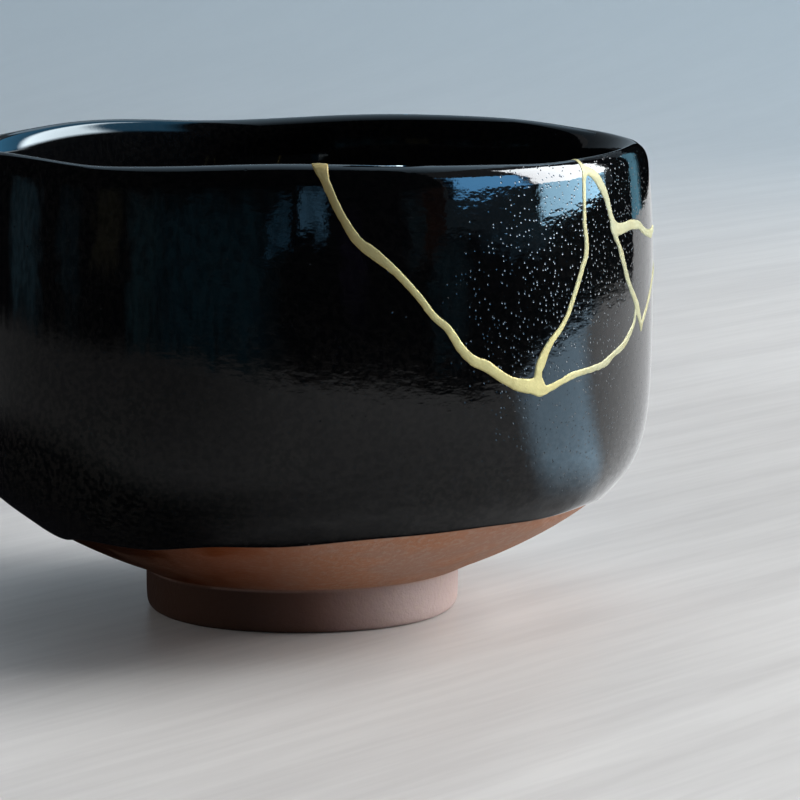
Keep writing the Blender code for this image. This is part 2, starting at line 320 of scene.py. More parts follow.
# The heights between which the foot's unevenness sets in, and between which it gives way to the wall's.
FOOT_RIPPLE_FROM = (0.3, 2.5)
WALL_RIPPLE_FROM = (9.0, 24.0)

# -------------------------------------------------------------------------------------------- finishes

# Soft patches, by their pitch in metres and the share that they cover.
GLAZE_CLOUDS = (0.03, 0.45)
GLAZE_SPECKS = (0.0009, 0.5)
CLAY_PATCHES = (0.012, 0.5)
CLAY_SPECKS = (0.0011, 0.35)
GOLD_PATCHES = (0.0035, 0.45)
GOLD_GRAINS = (0.0003, 0.5)
# Fine grain, by the size and the height of its lumps in metres; the glaze's height is a setting.
GLAZE_FINE_SIZE = 0.0009
GLAZE_FINE_SHARE = 0.4
GLAZE_SWELL_SIZE = 0.0022
CLAY_COARSE = (0.0011, 0.00007)
CLAY_FINE = (0.00032, 0.000035)
GOLD_POWDER = (0.00022, 0.00001)
GOLD_BRUSH = (0.0012, 0.00003)

# A range is where a change starts and where it ends, then its values there if they aren't 0 and 1. These
# are the shares of thin glaze in a cloud and in a speck, its share by height, which is full low on the wall
# where it also paints a mottled reflection of the table, and the grain by its distance from the pinholes.
CLOUD_THIN = (0.0, 1.0, 0.55, 1.0)
SPECK_THIN = (0.0, 1.0, 0.1, 1.0)
SHEEN_BY_HEIGHT = (0.06, 0.034, 0.3, 1.0)
GRAIN_REACH = (0.105, 0.02, 0.15, 1.0)
CLOUD_ROUGHNESS = 0.02
# The middle of the stretch of glaze where pinholes crowd, how the crowd thins out with the distance from
# it, and the noise that gathers it in clumps, with the range that it is read by.
PINHOLE_CENTRE = (0.0487, -0.0367, 0.057)
PINHOLE_CROWD = (0.036, 0.021, 0.012, 1.0)
CLUMP_NOISE = (7.0, 1.0)
CLUMP_SHARE = (0.34, 0.6, 0.8, 1.0)
GLAZE_PINHOLES = {"Spacing": 0.00072, "Width": 0.0004}
PINHOLE_ROUGHNESS = 0.34
# The lumps in the glaze are wider than tall: its place is stretched this much along x, y and z.
LYING_LUMPS = (0.8, 0.8, 1.7)
GLAZE_IOR = 1.45

# The clay: the flush by its distance in millimetres from the edge of the glaze and its share, the painted
# shadow line there under the glaze's rolled edge, half the height in metres over which the foot's colour sets
# in, and the share of sand.
FLUSH_REACH = (-7.0, -0.6)
FLUSH_SHARE = 0.55
EDGE_SHADOW_REACH = (-1.1, -0.1, 0.0, 0.7)
FOOT_SOFTNESS = 0.0006
SAND_SHARE = 0.35
# The painted shade on the left, away from the window, from right to left: where it sets in and where it is
# darkest, on the underside and on the foot.
SHADE_UNDERSIDE = (0.013, -0.016)
SHADE_FOOT = (0.021, -0.001)
DEEP_SHADE_UNDERSIDE = (-0.01, -0.032)
DEEP_SHADE_FOOT = (0.016, -0.012)
DEEP_SHADE_SHARE = 0.8
SHADE_IN_PATCHES = (0.0, 1.0, 0.84, 0.98)
CLAY_PINHOLES = {"Spacing": 0.0028, "Width": 0.0007, "Share": 0.35}
CLAY_PINHOLE_DEPTH = 0.00012
CLAY_ROUGHNESS = (0.0, 1.0, 0.72, 0.6)
CLAY_SPECULAR = 0.1

# The gold, from left to right: where the painted shade at the left end gives way to full colour and where
# full gives way to the pale painted highlight at the right.
SHADED_TO_FULL = (0.004, 0.022)
FULL_TO_LIT = (0.038, 0.05)
WORN_IN_PATCHES = 0.2
WORN_IN_GRAINS = 0.15
GOLD_ROUGHNESS = (0.0, 1.0, 0.52, 0.62)
GOLD_METALLIC = 0.2
BLACK = (0.0, 0.0, 0.0, 1.0)

# ---------------------------------------------------------------------------------------------- studio

# Metres: how far the table reaches in front, to the sides and behind, and the sweep up to the wall.
SWEEP_FRONT = 2.0
SWEEP_SIDE = 2.6
SWEEP_BACK = 0.95
SWEEP_RADIUS = 0.9
SWEEP_TOP = 2.6
STREAK_TURN = math.radians(50.0)
STREAK_STRETCH = 14.0
# The table's fine and broad streaks, each by its noise and the range that it is read by.
STREAK_FINE = ((2.2, 2.0), (0.35, 0.65))
STREAK_BROAD = ((14.0, 1.0), (0.3, 0.7))
STREAK_FINE_SHARE = 0.35
# Painted shade darkens the table a little behind the bowl, where the window lights it more, and the table
# turns to the backdrop's colour further away.
FLOOR_PAINTED_SHADE = (-0.04, 0.12, 0.0, 0.17)
FLOOR_AWAY = (0.3, 1.5)
FLOOR_ROUGHNESS = 0.4
FLOOR_IOR = 1.45
CARD_STEPS = 33
CARD_RISE = "card_rise"

CAMERA_DISTANCE = 0.65
CAMERA_HEIGHT = 0.1312
CAMERA_PITCH = math.radians(8.354)
CAMERA_YAW = math.radians(1.502)
CAMERA_LENS = 170.5
SENSOR_WIDTH = 36.0
CLIP_START = 0.01

WORLD_COLOUR = (0.87, 0.91, 0.97, 1.0)
# Soft boxes, each named as the setting of its power: an azimuth and an elevation in degrees, a distance and
# two sides in metres, and a colour. They all look at the same height over the table.
LIGHTS = (
    ("window", 102.0, 27.0, 1.3, (0.9, 0.8), (0.95, 0.98, 1.0)),
    ("overhead", 170.0, 68.0, 1.3, (1.0, 0.7), (0.9, 0.95, 1.0)),
    ("room", -84.0, 13.0, 1.1, (1.0, 0.4), (0.96, 0.98, 1.0)),
)
LOOK_AT_HEIGHT = 0.04

# Cards that stand round the bowl and are seen in its gloss alone. Each has a name, two azimuths in degrees
# from the front towards +X, two heights and a radius in metres, a colour and a brightness.
CARDS = (
    ("far_dark_card", (140.0, 165.0), (0.05, 0.2), 0.33, (0.0, 0.0, 0.0), 0.0),
    ("blue_card", (38.0, 73.0), (0.15, 0.52), 0.9, (0.17, 0.53, 1.0), 9.5),
    ("shelf_card", (30.0, 78.0), (0.0, 0.15), 0.93, (0.3, 0.48, 0.62), 0.3),
    ("window_card", (71.0, 119.5), (0.175, 1.0), 0.9, (0.93, 0.97, 1.0), 22.0),
    ("sill_card", (73.0, 115.0), (0.06, 0.175), 0.9, (0.42, 0.75, 1.0), 13.0),
    ("teal_card", (125.0, 141.0), (0.05, 0.18), 0.33, (0.3, 0.74, 1.0), 0.9),
)
# The dim room is a card round the front and both sides, near the bowl. Its lower edge, as azimuths in
# degrees and heights in metres, is the far edge of the table; over its top on the right stand the window
# cards.
ROOM_RADIUS = 0.24
ROOM_TOP = 0.0745
ROOM_LOWER_EDGE = (
    (-130.0, 0.027),
    (-56.0, 0.0245),
    (-22.0, 0.021),
    (2.0, 0.0145),
    (23.0, 0.0105),
    (43.0, 0.006),
    (62.0, 0.0145),
    (80.0, 0.025),
    (103.0, 0.031),
    (126.0, 0.031),
)
HIGH_ROOM = ((-130.0, 34.0), (111.0, 126.0))
HIGH_ROOM_TOP = 0.42
ROOM_DARK = (0.003, 0.004, 0.005, 1.0)
# The edges of its spots waver by this noise, this many degrees sideways and this many metres up.
ROOM_WAVER = (14.0, 2.0)
ROOM_WAVER_TURN = 9.0
ROOM_WAVER_RISE = 0.03
# Folds that dim it unevenly, and the range over which the table's glow fades up its foot.
ROOM_FOLDS = ((6.0, 2.0), (0.3, 0.65, 0.4, 1.0))
ROOM_FOOT = (0.15, -0.03)
ROOM_FOOT_WAVER = 0.2
# The sides of a bright card waver by this noise and this many degrees, and fade over this many degrees.
CARD_WAVER = (60.0, 2.0)
CARD_WAVER_TURN = 12.0
CARD_SOFTNESS = 5.0
# The half width of a soft spot over which it is evenly bright, as a share.
SPOT_CORE = 0.45
# Things in the dim room, as soft spots: an azimuth and a height, the half width in degrees and the half
# height in metres, a colour and a brightness.
ROOM_SPOTS = (
    ((-88.0, 0.058), (10.0, 0.038), (0.35, 0.75, 1.0), 0.2),
    ((-66.0, 0.062), (6.0, 0.036), (0.3, 0.75, 1.0), 0.08),
    ((-51.0, 0.073), (6.0, 0.026), (0.8, 0.75, 0.45), 0.1),
    ((-38.0, 0.058), (7.5, 0.045), (0.3, 0.8, 1.0), 0.15),
    ((-19.0, 0.056), (19.0, 0.048), (0.18, 0.7, 1.0), 0.15),
    ((-3.0, 0.076), (1.8, 0.015), (0.2, 0.6, 1.0), 0.5),
    ((4.0, 0.088), (3.6, 0.016), (0.25, 0.62, 1.0), 1.3),
    ((12.0, 0.062), (3.6, 0.034), (0.5, 0.4, 1.0), 0.05),
    ((26.5, 0.078), (3.4, 0.022), (0.4, 0.8, 1.0), 0.12),
    ((31.5, 0.079), (4.2, 0.026), (1.0, 0.42, 0.24), 0.085),
    ((36.0, 0.048), (6.5, 0.03), (0.3, 0.75, 1.0), 0.14),
    ((60.0, 0.07), (18.0, 0.013), (0.35, 0.7, 1.0), 0.35),
)
# Two dark cards inside the mouth of the bowl, seen in the gloss of its far wall: a piece of a ring round
# the front, by its radius and azimuths, and a straight one from front to back, by its x and its least and
# greatest y. Then their heights, and the colours of the window and of the dim blue beside it there.
MOUTH_RADIUS = 0.05
MOUTH_AZIMUTHS = (-30.0, 64.0)
MOUTH_SIDE = (0.02, (-0.045, 0.115))
MOUTH_HEIGHTS = (0.0765, 0.2)
MOUTH_WINDOW = (13.5, 16.0, 17.5)
MOUTH_BLUE = (0.22, 0.85, 1.5)
# How far their edges lean with the height over the first level and sink with the y past the first one, and
# the ranges of their lower edge, of the blue's and the window's front edges and of the window's far edge.
MOUTH_LEAN = 0.55
MOUTH_LEAN_FROM = 0.1
MOUTH_SINK = 0.4
MOUTH_SINK_FROM = 0.035
MOUTH_LEVEL = (0.0915, 0.1015)
MOUTH_BLUE_FRONT = (0.01, 0.022)
MOUTH_WINDOW_FRONT = (0.031, 0.037)
MOUTH_WINDOW_FAR = (0.07, 0.06)
# The ceiling, as its least and greatest x and y, its height, and its colour where it is brightest.
CEILING = ((-1.4, 0.6), (-0.95, 1.4), 1.0)
CEILING_GLOW = (0.95, 1.33, 1.65)
CEILING_ALONG = (-0.95, 0.15)
CEILING_ACROSS = (-1.0, 0.25, 0.12, 1.0)
# The table as the gloss sees it: a ring close over the floor, its two radii and its height in metres.
TABLE_RING = (0.028, 1.1)
TABLE_LIFT = 0.0006
# Shares of its brightness on the left, in front, and on the right and behind, with the ranges between them:
# the first across the table, which leans outwards with the distance by a share, and the second round the
# bowl.
TABLE_STEPS = (0.22, 0.85, 1.5)
TABLE_ACROSS = (-0.14, 0.19)
TABLE_ACROSS_LEAN = 0.1
TABLE_ROUND = (80.0, 105.0)
# The bowl's shadow: how far it reaches by azimuth, how softly it ends, on which side it lies, the stretch
# close to the foot all round, and its colour.
SHADOW_REACH = (-20.0, -100.0, 0.085, 0.2)
SHADOW_EDGE = (1.35, 0.75)
SHADOW_SIDE = (20.0, -32.0)
SHADOW_AT_FOOT = (0.06, 0.042)
SHADOW_COLOUR = (0.004, 0.004, 0.005, 1.0)
# The window's glare: the azimuth of its middle and its half width in degrees, and the radii where it sets
# in.
GLARE_AZIMUTHS = (79.0, 23.0)
GLARE_FROM = (0.06, 0.13)
TABLE_GRAIN = ((7.0, 2.0), (0.3, 0.7, 0.88, 1.12))

# ------------------------------------------------------------------------------------------- outlines


def bezier(knots, steps):
    """Points of one cubic Bezier span at even parameters, both ends included."""
    a, b, c, d = np.array(knots, float)
    t = np.linspace(0.0, 1.0, steps + 1)[:, None]
    return a * (1 - t) ** 3 + 3 * b * t * (1 - t) ** 2 + 3 * c * t * t * (1 - t) + d * t**3


def bezier_chain(curve, steps):
    """Points of several spans in a row; steps is one number, or one for each span."""
    count = (len(curve) - 1) // 3
    steps = [steps] * count if np.isscalar(steps) else steps
    spans = [bezier(curve[3 * i : 3 * i + 4], steps[i])[:-1] for i in range(count)]
    return np.concatenate(spans + [[curve[-1]]])


class Outline:
    """A face of the wall in section, read by its rise.

    The rise is the height up to the lip and, past it, the height of the lip plus the length along its round.
    The round goes on past the crest, so that the direction there is well defined from both faces.
    """

    def __init__(self, curve, side):
        wall = bezier_chain(curve, CURVE_STEPS)
        turn = np.linspace(LIP_START, math.pi - LIP_START, 2 * CURVE_STEPS + 1)[1:]
        radii = LIP_RADIUS + side * LIP_HALF * np.cos(turn)
        heights = LIP_MIDDLE + LIP_TALL * np.sin(turn)
        self.radii = np.concatenate([wall[:, 0], radii])
        self.heights = np.concatenate([wall[:, 1], heights])
        steps = np.hypot(np.diff(self.radii), np.diff(self.heights))
        self.runs = np.concatenate([[0.0], np.cumsum(steps)])
        past_wall = self.runs[len(wall) :] - self.runs[len(wall) - 1]
        self.rises = np.concatenate([wall[:, 1], LIP_HEIGHT + past_wall])

    def at_rise(self, rise):
        return np.interp(rise, self.rises, self.radii), np.interp(rise, self.rises, self.heights)

    def at_run(self, run):
        """Radius and height at this length along the outline from its first knot."""
        return np.interp(run, self.runs, self.radii), np.interp(run, self.runs, self.heights)

    def run_at(self, rise):
        return np.interp(rise, self.rises, self.runs)


OUTER = Outline(OUTER_CURVE, 1)
INNER = Outline(INNER_CURVE, -1)
TO_CREST = slice(len(OUTER.heights) - CURVE_STEPS)
CREST_RISE = OUTER.rises[TO_CREST][-1]


def ease(low, high, value):
    """0 below low, 1 above high and a smooth step between them."""
    share = np.clip((value - low) / (high - low), 0.0, 1.0)
    return share * share * (3.0 - 2.0 * share)


def lobes(angle, waves):
    """Sum of cosine waves round the bowl, in millimetres."""
    return sum(size * np.cos(count * (angle - math.radians(crest))) for count, size, crest in waves)


def dips(angle):
    """Depth of the rim's shallow dips: a bell curve for each one."""
    depth = np.zeros_like(angle)
    for middle, size, half_width in RIM_DIPS:
        away = (np.degrees(angle) - middle + 180.0) % 360.0 - 180.0
        depth += size * np.exp(-((away / half_width) ** 2))
    return depth


def bent(radius, height, angle):
    """Points of a turned form after the hand has bent its plan and its rim.

    The radius gains the plan waves, less at the foot and none at the axis. The height gains the rim waves and
    loses the rim dips, by a share that grows evenly up the wall.
    """
    radius, height, angle = np.broadcast_arrays(radius, height, angle)
    freedom = FOOT_SHARE + (1.0 - FOOT_SHARE) * ease(STEADY_BELOW, FREE_ABOVE, height)
    freedom = freedom * np.minimum(radius / FOOT_RADIUS, 1.0)
    rim_share = np.maximum((height - RIM_WAVES_START) / RIM_WAVES_SPAN, 0.0)
    wide = radius + freedom * lobes(angle, PLAN_WAVES)
    tall = height + rim_share * (lobes(angle, RIM_WAVES) - dips(angle))
    return np.stack([wide * np.sin(angle), -wide * np.cos(angle), tall], axis=-1)


def unit(vectors):
    return vectors / np.maximum(np.linalg.norm(vectors, axis=-1, keepdims=True), 1e-12)


def skin(read, place, angle, lift=0.0, side=1):
    """Points of a face of the bowl: the bent outline, moved along its normal by the lift and by the ripple.

    read gives radius and height for a place on the outline. The normal is the cross product of the two
    directions in which the face runs, each taken as the difference of two points close by. Close to the axis
    the way round is taken on a wider ring, where it still has a direction.
    """
    place, angle, lift = np.broadcast_arrays(place, angle, lift)
    radius, height = read(place)
    points = bent(radius, height, angle)
    along = bent(*read(place + NEAR), angle) - bent(*read(place - NEAR), angle)
    ring = np.maximum(radius, LEAST_RING)
    around = bent(ring, height, angle + NEAR / ring) - bent(ring, height, angle - NEAR / ring)
    normals = side * unit(np.cross(around, along))
    return points + normals * (lift + ripple(points))[..., None]


# --------------------------------------------------------------------------------------------- relief


def gradient_noise(points, cell, seed):
    """Smooth noise of about -1 to 1: a seeded slope at each corner of a lattice, blended between the corners.

    cell is the lattice pitch, as one number or as one along x, y and z. The blend is the quintic
    6t^5 - 15t^4 + 10t^3, so that reflections in the face stay smooth.
    """
    slopes = unit(np.random.default_rng(seed).normal(size=(NOISE_LATTICE, NOISE_LATTICE, NOISE_LATTICE, 3)))
    spot = points / np.array(cell, float) + NOISE_SHIFT
    corner = np.floor(spot).astype(int)
    part = spot - corner
    blend = part**3 * (part * (part * 6.0 - 15.0) + 10.0)
    total = np.zeros(points.shape[:-1])
    for dx in (0, 1):
        for dy in (0, 1):
            for dz in (0, 1):
                shift = np.array([dx, dy, dz])
                index = (corner + shift) % NOISE_LATTICE
                slope = slopes[index[..., 0], index[..., 1], index[..., 2]]
                share = np.prod(np.where(shift, blend, 1.0 - blend), axis=-1)
                total += share * np.sum(slope * (part - shift), axis=-1)
    return total * NOISE_GAIN


def layers(points, table, start=0.0):
    """The start plus the sum of these layers of noise."""
    return sum((share * gradient_noise(points, cell, seed) for share, cell, seed in table), start)


def ripple(points):
    """How far the fingers and the trimming tool moved the face along its normal, in millimetres.

    On the wall this is tall soft hollows, smaller ones over them and a fine unevenness. On the foot and the
    underside it is a weaker unevenness and faint turning rings, and the ring that the bowl stands on is flat.
    """
    depth = bpy.context.scene.tea_bowl_form.ripple / MM
    height = points[..., 2]
    radius = np.hypot(points[..., 0], points[..., 1])
    on_wall = ease(*WALL_RIPPLE_FROM, height)
    wall = layers(points, WALL_LAYERS)
    clay = layers(points, CLAY_LAYERS)
    clay += RING_SHARE * np.sin(TAU * radius / RING_PITCH) * ease(*RINGS_FROM, radius)
    return depth * (on_wall * wall + (1.0 - on_wall) * ease(*FOOT_RIPPLE_FROM, height) * clay)


# ------------------------------------------------------------------------------------------ the sheet

# One radian round the bowl is this many millimetres along the sheet.
SHEET_RADIUS = 60.0


def rise_of(height):
    """The rise of a height on the wall or on the lip's round; above the crest it goes straight on."""
    above = np.maximum(height - CREST_HEIGHT, 0.0)
    return np.interp(height, OUTER.heights[TO_CREST], OUTER.rises[TO_CREST]) + above


def sheet_route(crack):
    """Rows of (x, rise, half width) along a crack: Catmull-Rom curves through its points."""
    angle, height, width = np.array(crack, float).T
    knots = np.stack([np.radians(angle) * SHEET_RADIUS, rise_of(height), 0.5 * width], axis=1)
    ends = np.concatenate([[2.0 * knots[0] - knots[1]], knots, [2.0 * knots[-1] - knots[-2]]])
    t = np.linspace(0.0, 1.0, ROUTE_STEPS, endpoint=False)[:, None]
    shares = (-(t**3) + 2 * t**2 - t, 3 * t**3 - 5 * t**2 + 2, -3 * t**3 + 4 * t**2 + t, t**3 - t**2)
    count = len(knots) - 1
    spans = [0.5 * sum(share * ends[i + k] for k, share in enumerate(shares)) for i in range(count)]
    return np.concatenate(spans + [knots[-1:]])


ROUTES = {
    "long": sheet_route(LONG_CRACK),
    "thin": sheet_route(THIN_CRACK),
    "right": sheet_route(RIGHT_CRACK),
    "lower": sheet_route(LOWER_CRACK),
    "side_top": sheet_route(SIDE_TOP_CRACK),
    "side_tail": sheet_route(SIDE_TAIL_CRACK),
}


def stretch(name, start, end):
    """The middle line of a crack from the point nearest one (angle, height) place to that nearest another."""
    line = ROUTES[name][:, :2]
    nearest = []
    for angle, height in (start, end):
        place = (math.radians(angle) * SHEET_RADIUS, rise_of(height))
        nearest.append(np.argmin(np.hypot(line[:, 0] - place[0], line[:, 1] - place[1])))
    first, last = nearest
    return line[first : last + 1] if first <= last else line[last : first + 1][::-1]


# Where the cracks start, meet and end, as (angle, height).
LONG_TOP = (2.9, 84.0)
RIGHT_TOP = (48.6, 84.0)
RIM_FORK = (49.5, 79.4)
BOTTOM_FORK = (38.0, 45.1)
SIDE_FORK = (56.6, 69.3)
LOWER_FORK = (66.6, 54.9)
RIGHT_END = (69.6, 50.8)
SIDE_END = (110.0, 62.0)

# The middle lines of the cracks round each sherd, as a closed loop.
SHERD_LOOPS = {
    "front_sherd": (
        stretch("long", LONG_TOP, BOTTOM_FORK),
        stretch("thin", BOTTOM_FORK, RIM_FORK),
        stretch("right", RIM_FORK, RIGHT_TOP),
    ),
    "narrow_sherd": (
        stretch("thin", RIM_FORK, BOTTOM_FORK),
        stretch("lower", BOTTOM_FORK, LOWER_FORK),
        stretch("right", LOWER_FORK, RIM_FORK),
    ),
    "side_sherd": (
        stretch("side_top", SIDE_FORK, SIDE_END),
        stretch("side_tail", SIDE_END, RIGHT_END),
        stretch("right", RIGHT_END, SIDE_FORK),
    ),
}


def depth_in_loop(x, rise, loop):
    """Signed distance to a closed outline, positive inside.

    A place is inside where a ray from it to the side crosses the outline an odd number of times.
    """
    away = np.full(np.broadcast(x, rise).shape, np.inf)
    odd = np.zeros(away.shape, bool)
    for a, b in zip(loop, np.roll(loop, -1, axis=0)):
        run = b - a
        length = run @ run
        if length == 0.0:
            continue
        share = np.clip(((x - a[0]) * run[0] + (rise - a[1]) * run[1]) / length, 0.0, 1.0)
        away = np.minimum(away, np.hypot(x - a[0] - share * run[0], rise - a[1] - share * run[1]))
        if run[1] != 0.0:
            crossing = a[0] + (rise - a[1]) / run[1] * run[0]
            odd ^= ((a[1] > rise) != (b[1] > rise)) & (x < crossing)
    return np.where(odd, away, -away)


def sherd_depth(name, x, rise):
    return depth_in_loop(x, rise, np.concatenate(SHERD_LOOPS[name]))


def smooth_max(a, b, reach):
    """The larger of two fields, with a round fillet where they differ by less than reach."""
    near = np.maximum(reach - np.abs(a - b), 0.0) / reach
    return np.maximum(a, b) + 0.25 * reach * near * near


def seam_depth(x, rise):
    """How far each place lies inside the gold's edge, negative outside it.

    Each crack is a row of short stretches whose width changes evenly: the depth is the half width there less
    the distance to the middle line. The cracks are joined with fillets, and the edge wavers a little, as a
    brush leaves it. x and rise are the columns' and the rows' places.
    """
    total = np.full((len(rise), len(x)), -SEAM_REACH)
    for route in ROUTES.values():
        depth = np.full(total.shape, -SEAM_REACH)
        for a, b in zip(route, route[1:]):
            low = np.minimum(a, b) - SEAM_REACH
            high = np.maximum(a, b) + SEAM_REACH
            rows = slice(*np.searchsorted(rise, (low[1], high[1])))
            columns = slice(*np.searchsorted(x, (low[0], high[0])))
            dx = x[None, columns] - a[0]
            dy = rise[rows, None] - a[1]
            run = b - a
            share = np.clip((dx * run[0] + dy * run[1]) / (run[0] ** 2 + run[1] ** 2), 0.0, 1.0)
            away = np.hypot(dx - share * run[0], dy - share * run[1])
            depth[rows, columns] = np.maximum(depth[rows, columns], a[2] + share * run[2] - away)
        total = smooth_max(total, depth, SEAM_FILLET)
    places = np.stack(np.broadcast_arrays(x[None, :], rise[:, None], 0.0), axis=-1)
    return total + SEAM_WAVER * layers(places, WAVER_LAYERS)


def cell_rings():
    """For each mix of corners inside, the ring of corners (0 to 3) and cut sides (4 to 7) of a grid cell."""
    rings = {}
    for mix in range(1, 16):
        inside = [mix >> corner & 1 for corner in range(4)]
        rings[mix] = []
        for corner in range(4):
            if inside[corner]:
                rings[mix].append(corner)
            if inside[corner] != inside[(corner + 1) % 4]:
                rings[mix].append(4 + corner)
    return rings


CELL_RINGS = cell_rings()


def cut_grid(field):
    """Triangles for the part of a grid where the field is positive, cut along the line where it is zero.

    Each cell's corners inside and its cut sides, taken in turn, are a fan of triangles; a side is cut at the
    share of its length where the field, taken as straight, is zero. Returns each point's row and column, as
    fractions, and its field, then the triangles and the edges along the cut.
    """
    rows, columns = field.shape
    count = rows * columns
    number = np.arange(count).reshape(rows, columns)
    low = (slice(None, -1), slice(None, -1))
    right = (slice(None, -1), slice(1, None))
    top = (slice(1, None), slice(1, None))
    left = (slice(1, None), slice(None, -1))
    inside = (field > 0.0).astype(int)
    mixes = inside[low] + 2 * inside[right] + 4 * inside[top] + 8 * inside[left]
    corners = [number[low], number[right], number[top], number[left]]
    sides = [number[low] + count, number[right] + 2 * count, number[left] + count, number[low] + 2 * count]
    ring = np.stack(corners + sides)
    triangles = []
    for mix, order in CELL_RINGS.items():
        cells = ring[:, mixes == mix]
        triangles += [cells[[order[0], second, third]].T for second, third in zip(order[1:], order[2:])]
    used, triangles = np.unique(np.concatenate(triangles), return_inverse=True)
    triangles = triangles.reshape(-1, 3)
    kind = used // count
    row = used % count // columns
    column = used % columns
    here = field[row, column]
    beyond = field[np.minimum(row + (kind == 2), rows - 1), np.minimum(column + (kind == 1), columns - 1)]
    share = np.where(kind > 0, here / np.where(kind > 0, here - beyond, 1.0), 0.0)
    value = np.where(kind > 0, 0.0, here)
    row = row + share * (kind == 2)
    column = column + share * (kind == 1)
    edges = np.concatenate([triangles[:, [0, 1]], triangles[:, [1, 2]], triangles[:, [2, 0]]])
    _, first, times = np.unique(np.sort(edges, axis=1), axis=0, return_index=True, return_counts=True)
    outline = edges[first[times == 1]]
    at_border = (row == 0) | (row == rows - 1) | (column == 0) | (column == columns - 1)
    return row, column, value, triangles, outline[~at_border[outline].all(axis=1)]


def clear_of_zero(field, margin):
    """The field with no value closer to zero than the margin, so that no cut leaves a sliver."""
    return np.where(np.abs(field) < margin, np.where(field > 0.0, margin, -margin), field)


# ---------------------------------------------------------------------------------------------- meshes

GLAZE = 0
CLAY = 1
EDGE_GAP = "edge_gap"
FAR_FROM_EDGE = 60.0


def grid_faces(rows, columns):
    """Four-sided faces between the points of a grid, numbered row by row."""
    number = np.arange(rows * columns).reshape(rows, columns)
    corners = number[:-1, :-1], number[:-1, 1:], number[1:, 1:], number[1:, :-1]
    return np.stack(corners, axis=-1).reshape(-1, 4)


class Shell:
    """A closed surface put together from patches of points, in millimetres, and their faces."""

    def __init__(self):
        self.points = []
        self.faces = []
        self.finishes = []
        self.edge_gaps = []
        self.count = 0

    def add(self, points, *groups, finish=GLAZE, edge_gap=FAR_FROM_EDGE):
        """Adds a patch: its points, and groups of faces that number those points.

        finish is one number, or one for each face. edge_gap is each point's distance up the wall from the
        edge of the glaze, in millimetres.
        """
        self.points.append(points.reshape(-1, 3))
        for faces in groups:
            self.faces += (faces + self.count).tolist()
            self.finishes.append(np.broadcast_to(finish, len(faces)))
        self.count += len(self.points[-1])
        self.edge_gaps.append(np.broadcast_to(edge_gap, points.shape[:-1]).ravel())

    def build(self, name, *materials):
        """Joins the points where patches meet, turns the faces outwards and links the object."""
        mesh = bpy.data.meshes.new(name)
        mesh.from_pydata((np.concatenate(self.points) * MM).tolist(), [], self.faces)
        for material in materials:
            mesh.materials.append(material)
        mesh.polygons.foreach_set("material_index", np.concatenate(self.finishes).astype(np.int32))
        edge_gap = mesh.attributes.new(EDGE_GAP, "FLOAT", "POINT")
        edge_gap.data.foreach_set("value", np.concatenate(self.edge_gaps).astype(np.float32))
        shell = bmesh.new()
        shell.from_mesh(mesh)
        bmesh.ops.remove_doubles(shell, verts=shell.verts[:], dist=WELD)
        bmesh.ops.dissolve_degenerate(shell, edges=shell.edges[:], dist=0.1 * WELD)
        bmesh.ops.recalc_face_normals(shell, faces=shell.faces[:])
        torn = sum(not edge.is_manifold for edge in shell.edges)
        shell.to_mesh(mesh)
        shell.free()
        if torn:
            raise ValueError(f"{name} has {torn} edges that don't join two faces")
        mesh.shade_smooth()
        mesh.set_sharp_from_angle(angle=SHARP_ANGLE)
        thing = bpy.data.objects.new(name, mesh)
        bpy.context.scene.collection.objects.link(thing)
        return thing


def place_piece(thing, node):
    """Lets a finished piece stand for its solid."""
    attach(thing, "root")
    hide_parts(node)


# ------------------------------------------------------------------------------------------ the pieces

FOOT_POINTS = bezier_chain(FOOT_CURVE, FOOT_STEPS)
ROUND = np.linspace(-math.pi, math.pi, ROUND_STEPS + 1)


def at_foot_point(number):
    """Radius and height between the numbered points of the foot's outline."""
    numbers = np.arange(len(FOOT_POINTS))
    return np.interp(number, numbers, FOOT_POINTS[:, 0]), np.interp(number, numbers, FOOT_POINTS[:, 1])


def lower_outside():
    """The underside and the lower wall as rows of points, with each row's distance from the glaze edge.

    The rows lie on the foot, then on the bare clay, which sinks under the level of the glaze, then over the
    rolled edge of the glaze and up the wall. The clay and wall rows are spread evenly between the glaze edge,
    which waves up and down round the bowl, and the ends of their stretches.
    """
    foot_numbers = np.arange(len(FOOT_POINTS) - 1.0)[:, None]
    edge = OUTER.run_at(GLAZE_EDGE_HEIGHT + lobes(ROUND, GLAZE_EDGE_WAVES))
    share = np.linspace(0.0, 1.0, CLAY_ROWS, endpoint=False)[:, None]
    clay_run = share * edge
    roll_offset, roll_lift = np.array(GLAZE_ROLL).T[:, :, None]
    roll_run = edge + roll_offset
    top = OUTER.run_at(SHEET_START)
    wall_run = roll_run[-1] + np.linspace(0.0, 1.0, WALL_ROWS + 1)[1:, None] * (top - roll_run[-1])
    rows = [
        skin(at_foot_point, foot_numbers, ROUND),
        skin(OUTER.at_run, clay_run, ROUND, roll_lift[0] * ease(0.0, CLAY_DROP, share)),
        skin(OUTER.at_run, roll_run, ROUND, roll_lift),
        skin(OUTER.at_run, wall_run, ROUND),
    ]
    gaps = [-edge - FOOT_HEIGHT + 0.0 * foot_numbers, clay_run - edge, roll_run - edge, wall_run - edge]
    clay_rows = len(foot_numbers) + CLAY_ROWS
    return np.concatenate(rows), np.concatenate(gaps), clay_rows


def add_wall(shell, field, x, rise):
    """Adds the wall where the sheet's field is positive: both faces and the edge of the cut."""
    row, column, _, triangles, cut = cut_grid(field)
    angle = np.interp(column, np.arange(len(x)), x) / SHEET_RADIUS
    rises = np.interp(row, np.arange(len(rise)), rise)
    outer = skin(OUTER.at_rise, rises, angle)
    inner = skin(INNER.at_rise, rises, angle, side=-1)
    count = len(rises)
    edge = np.concatenate([cut, cut[:, ::-1] + count], axis=1)
    shell.add(np.concatenate([outer, inner]), triangles, triangles + count, edge)


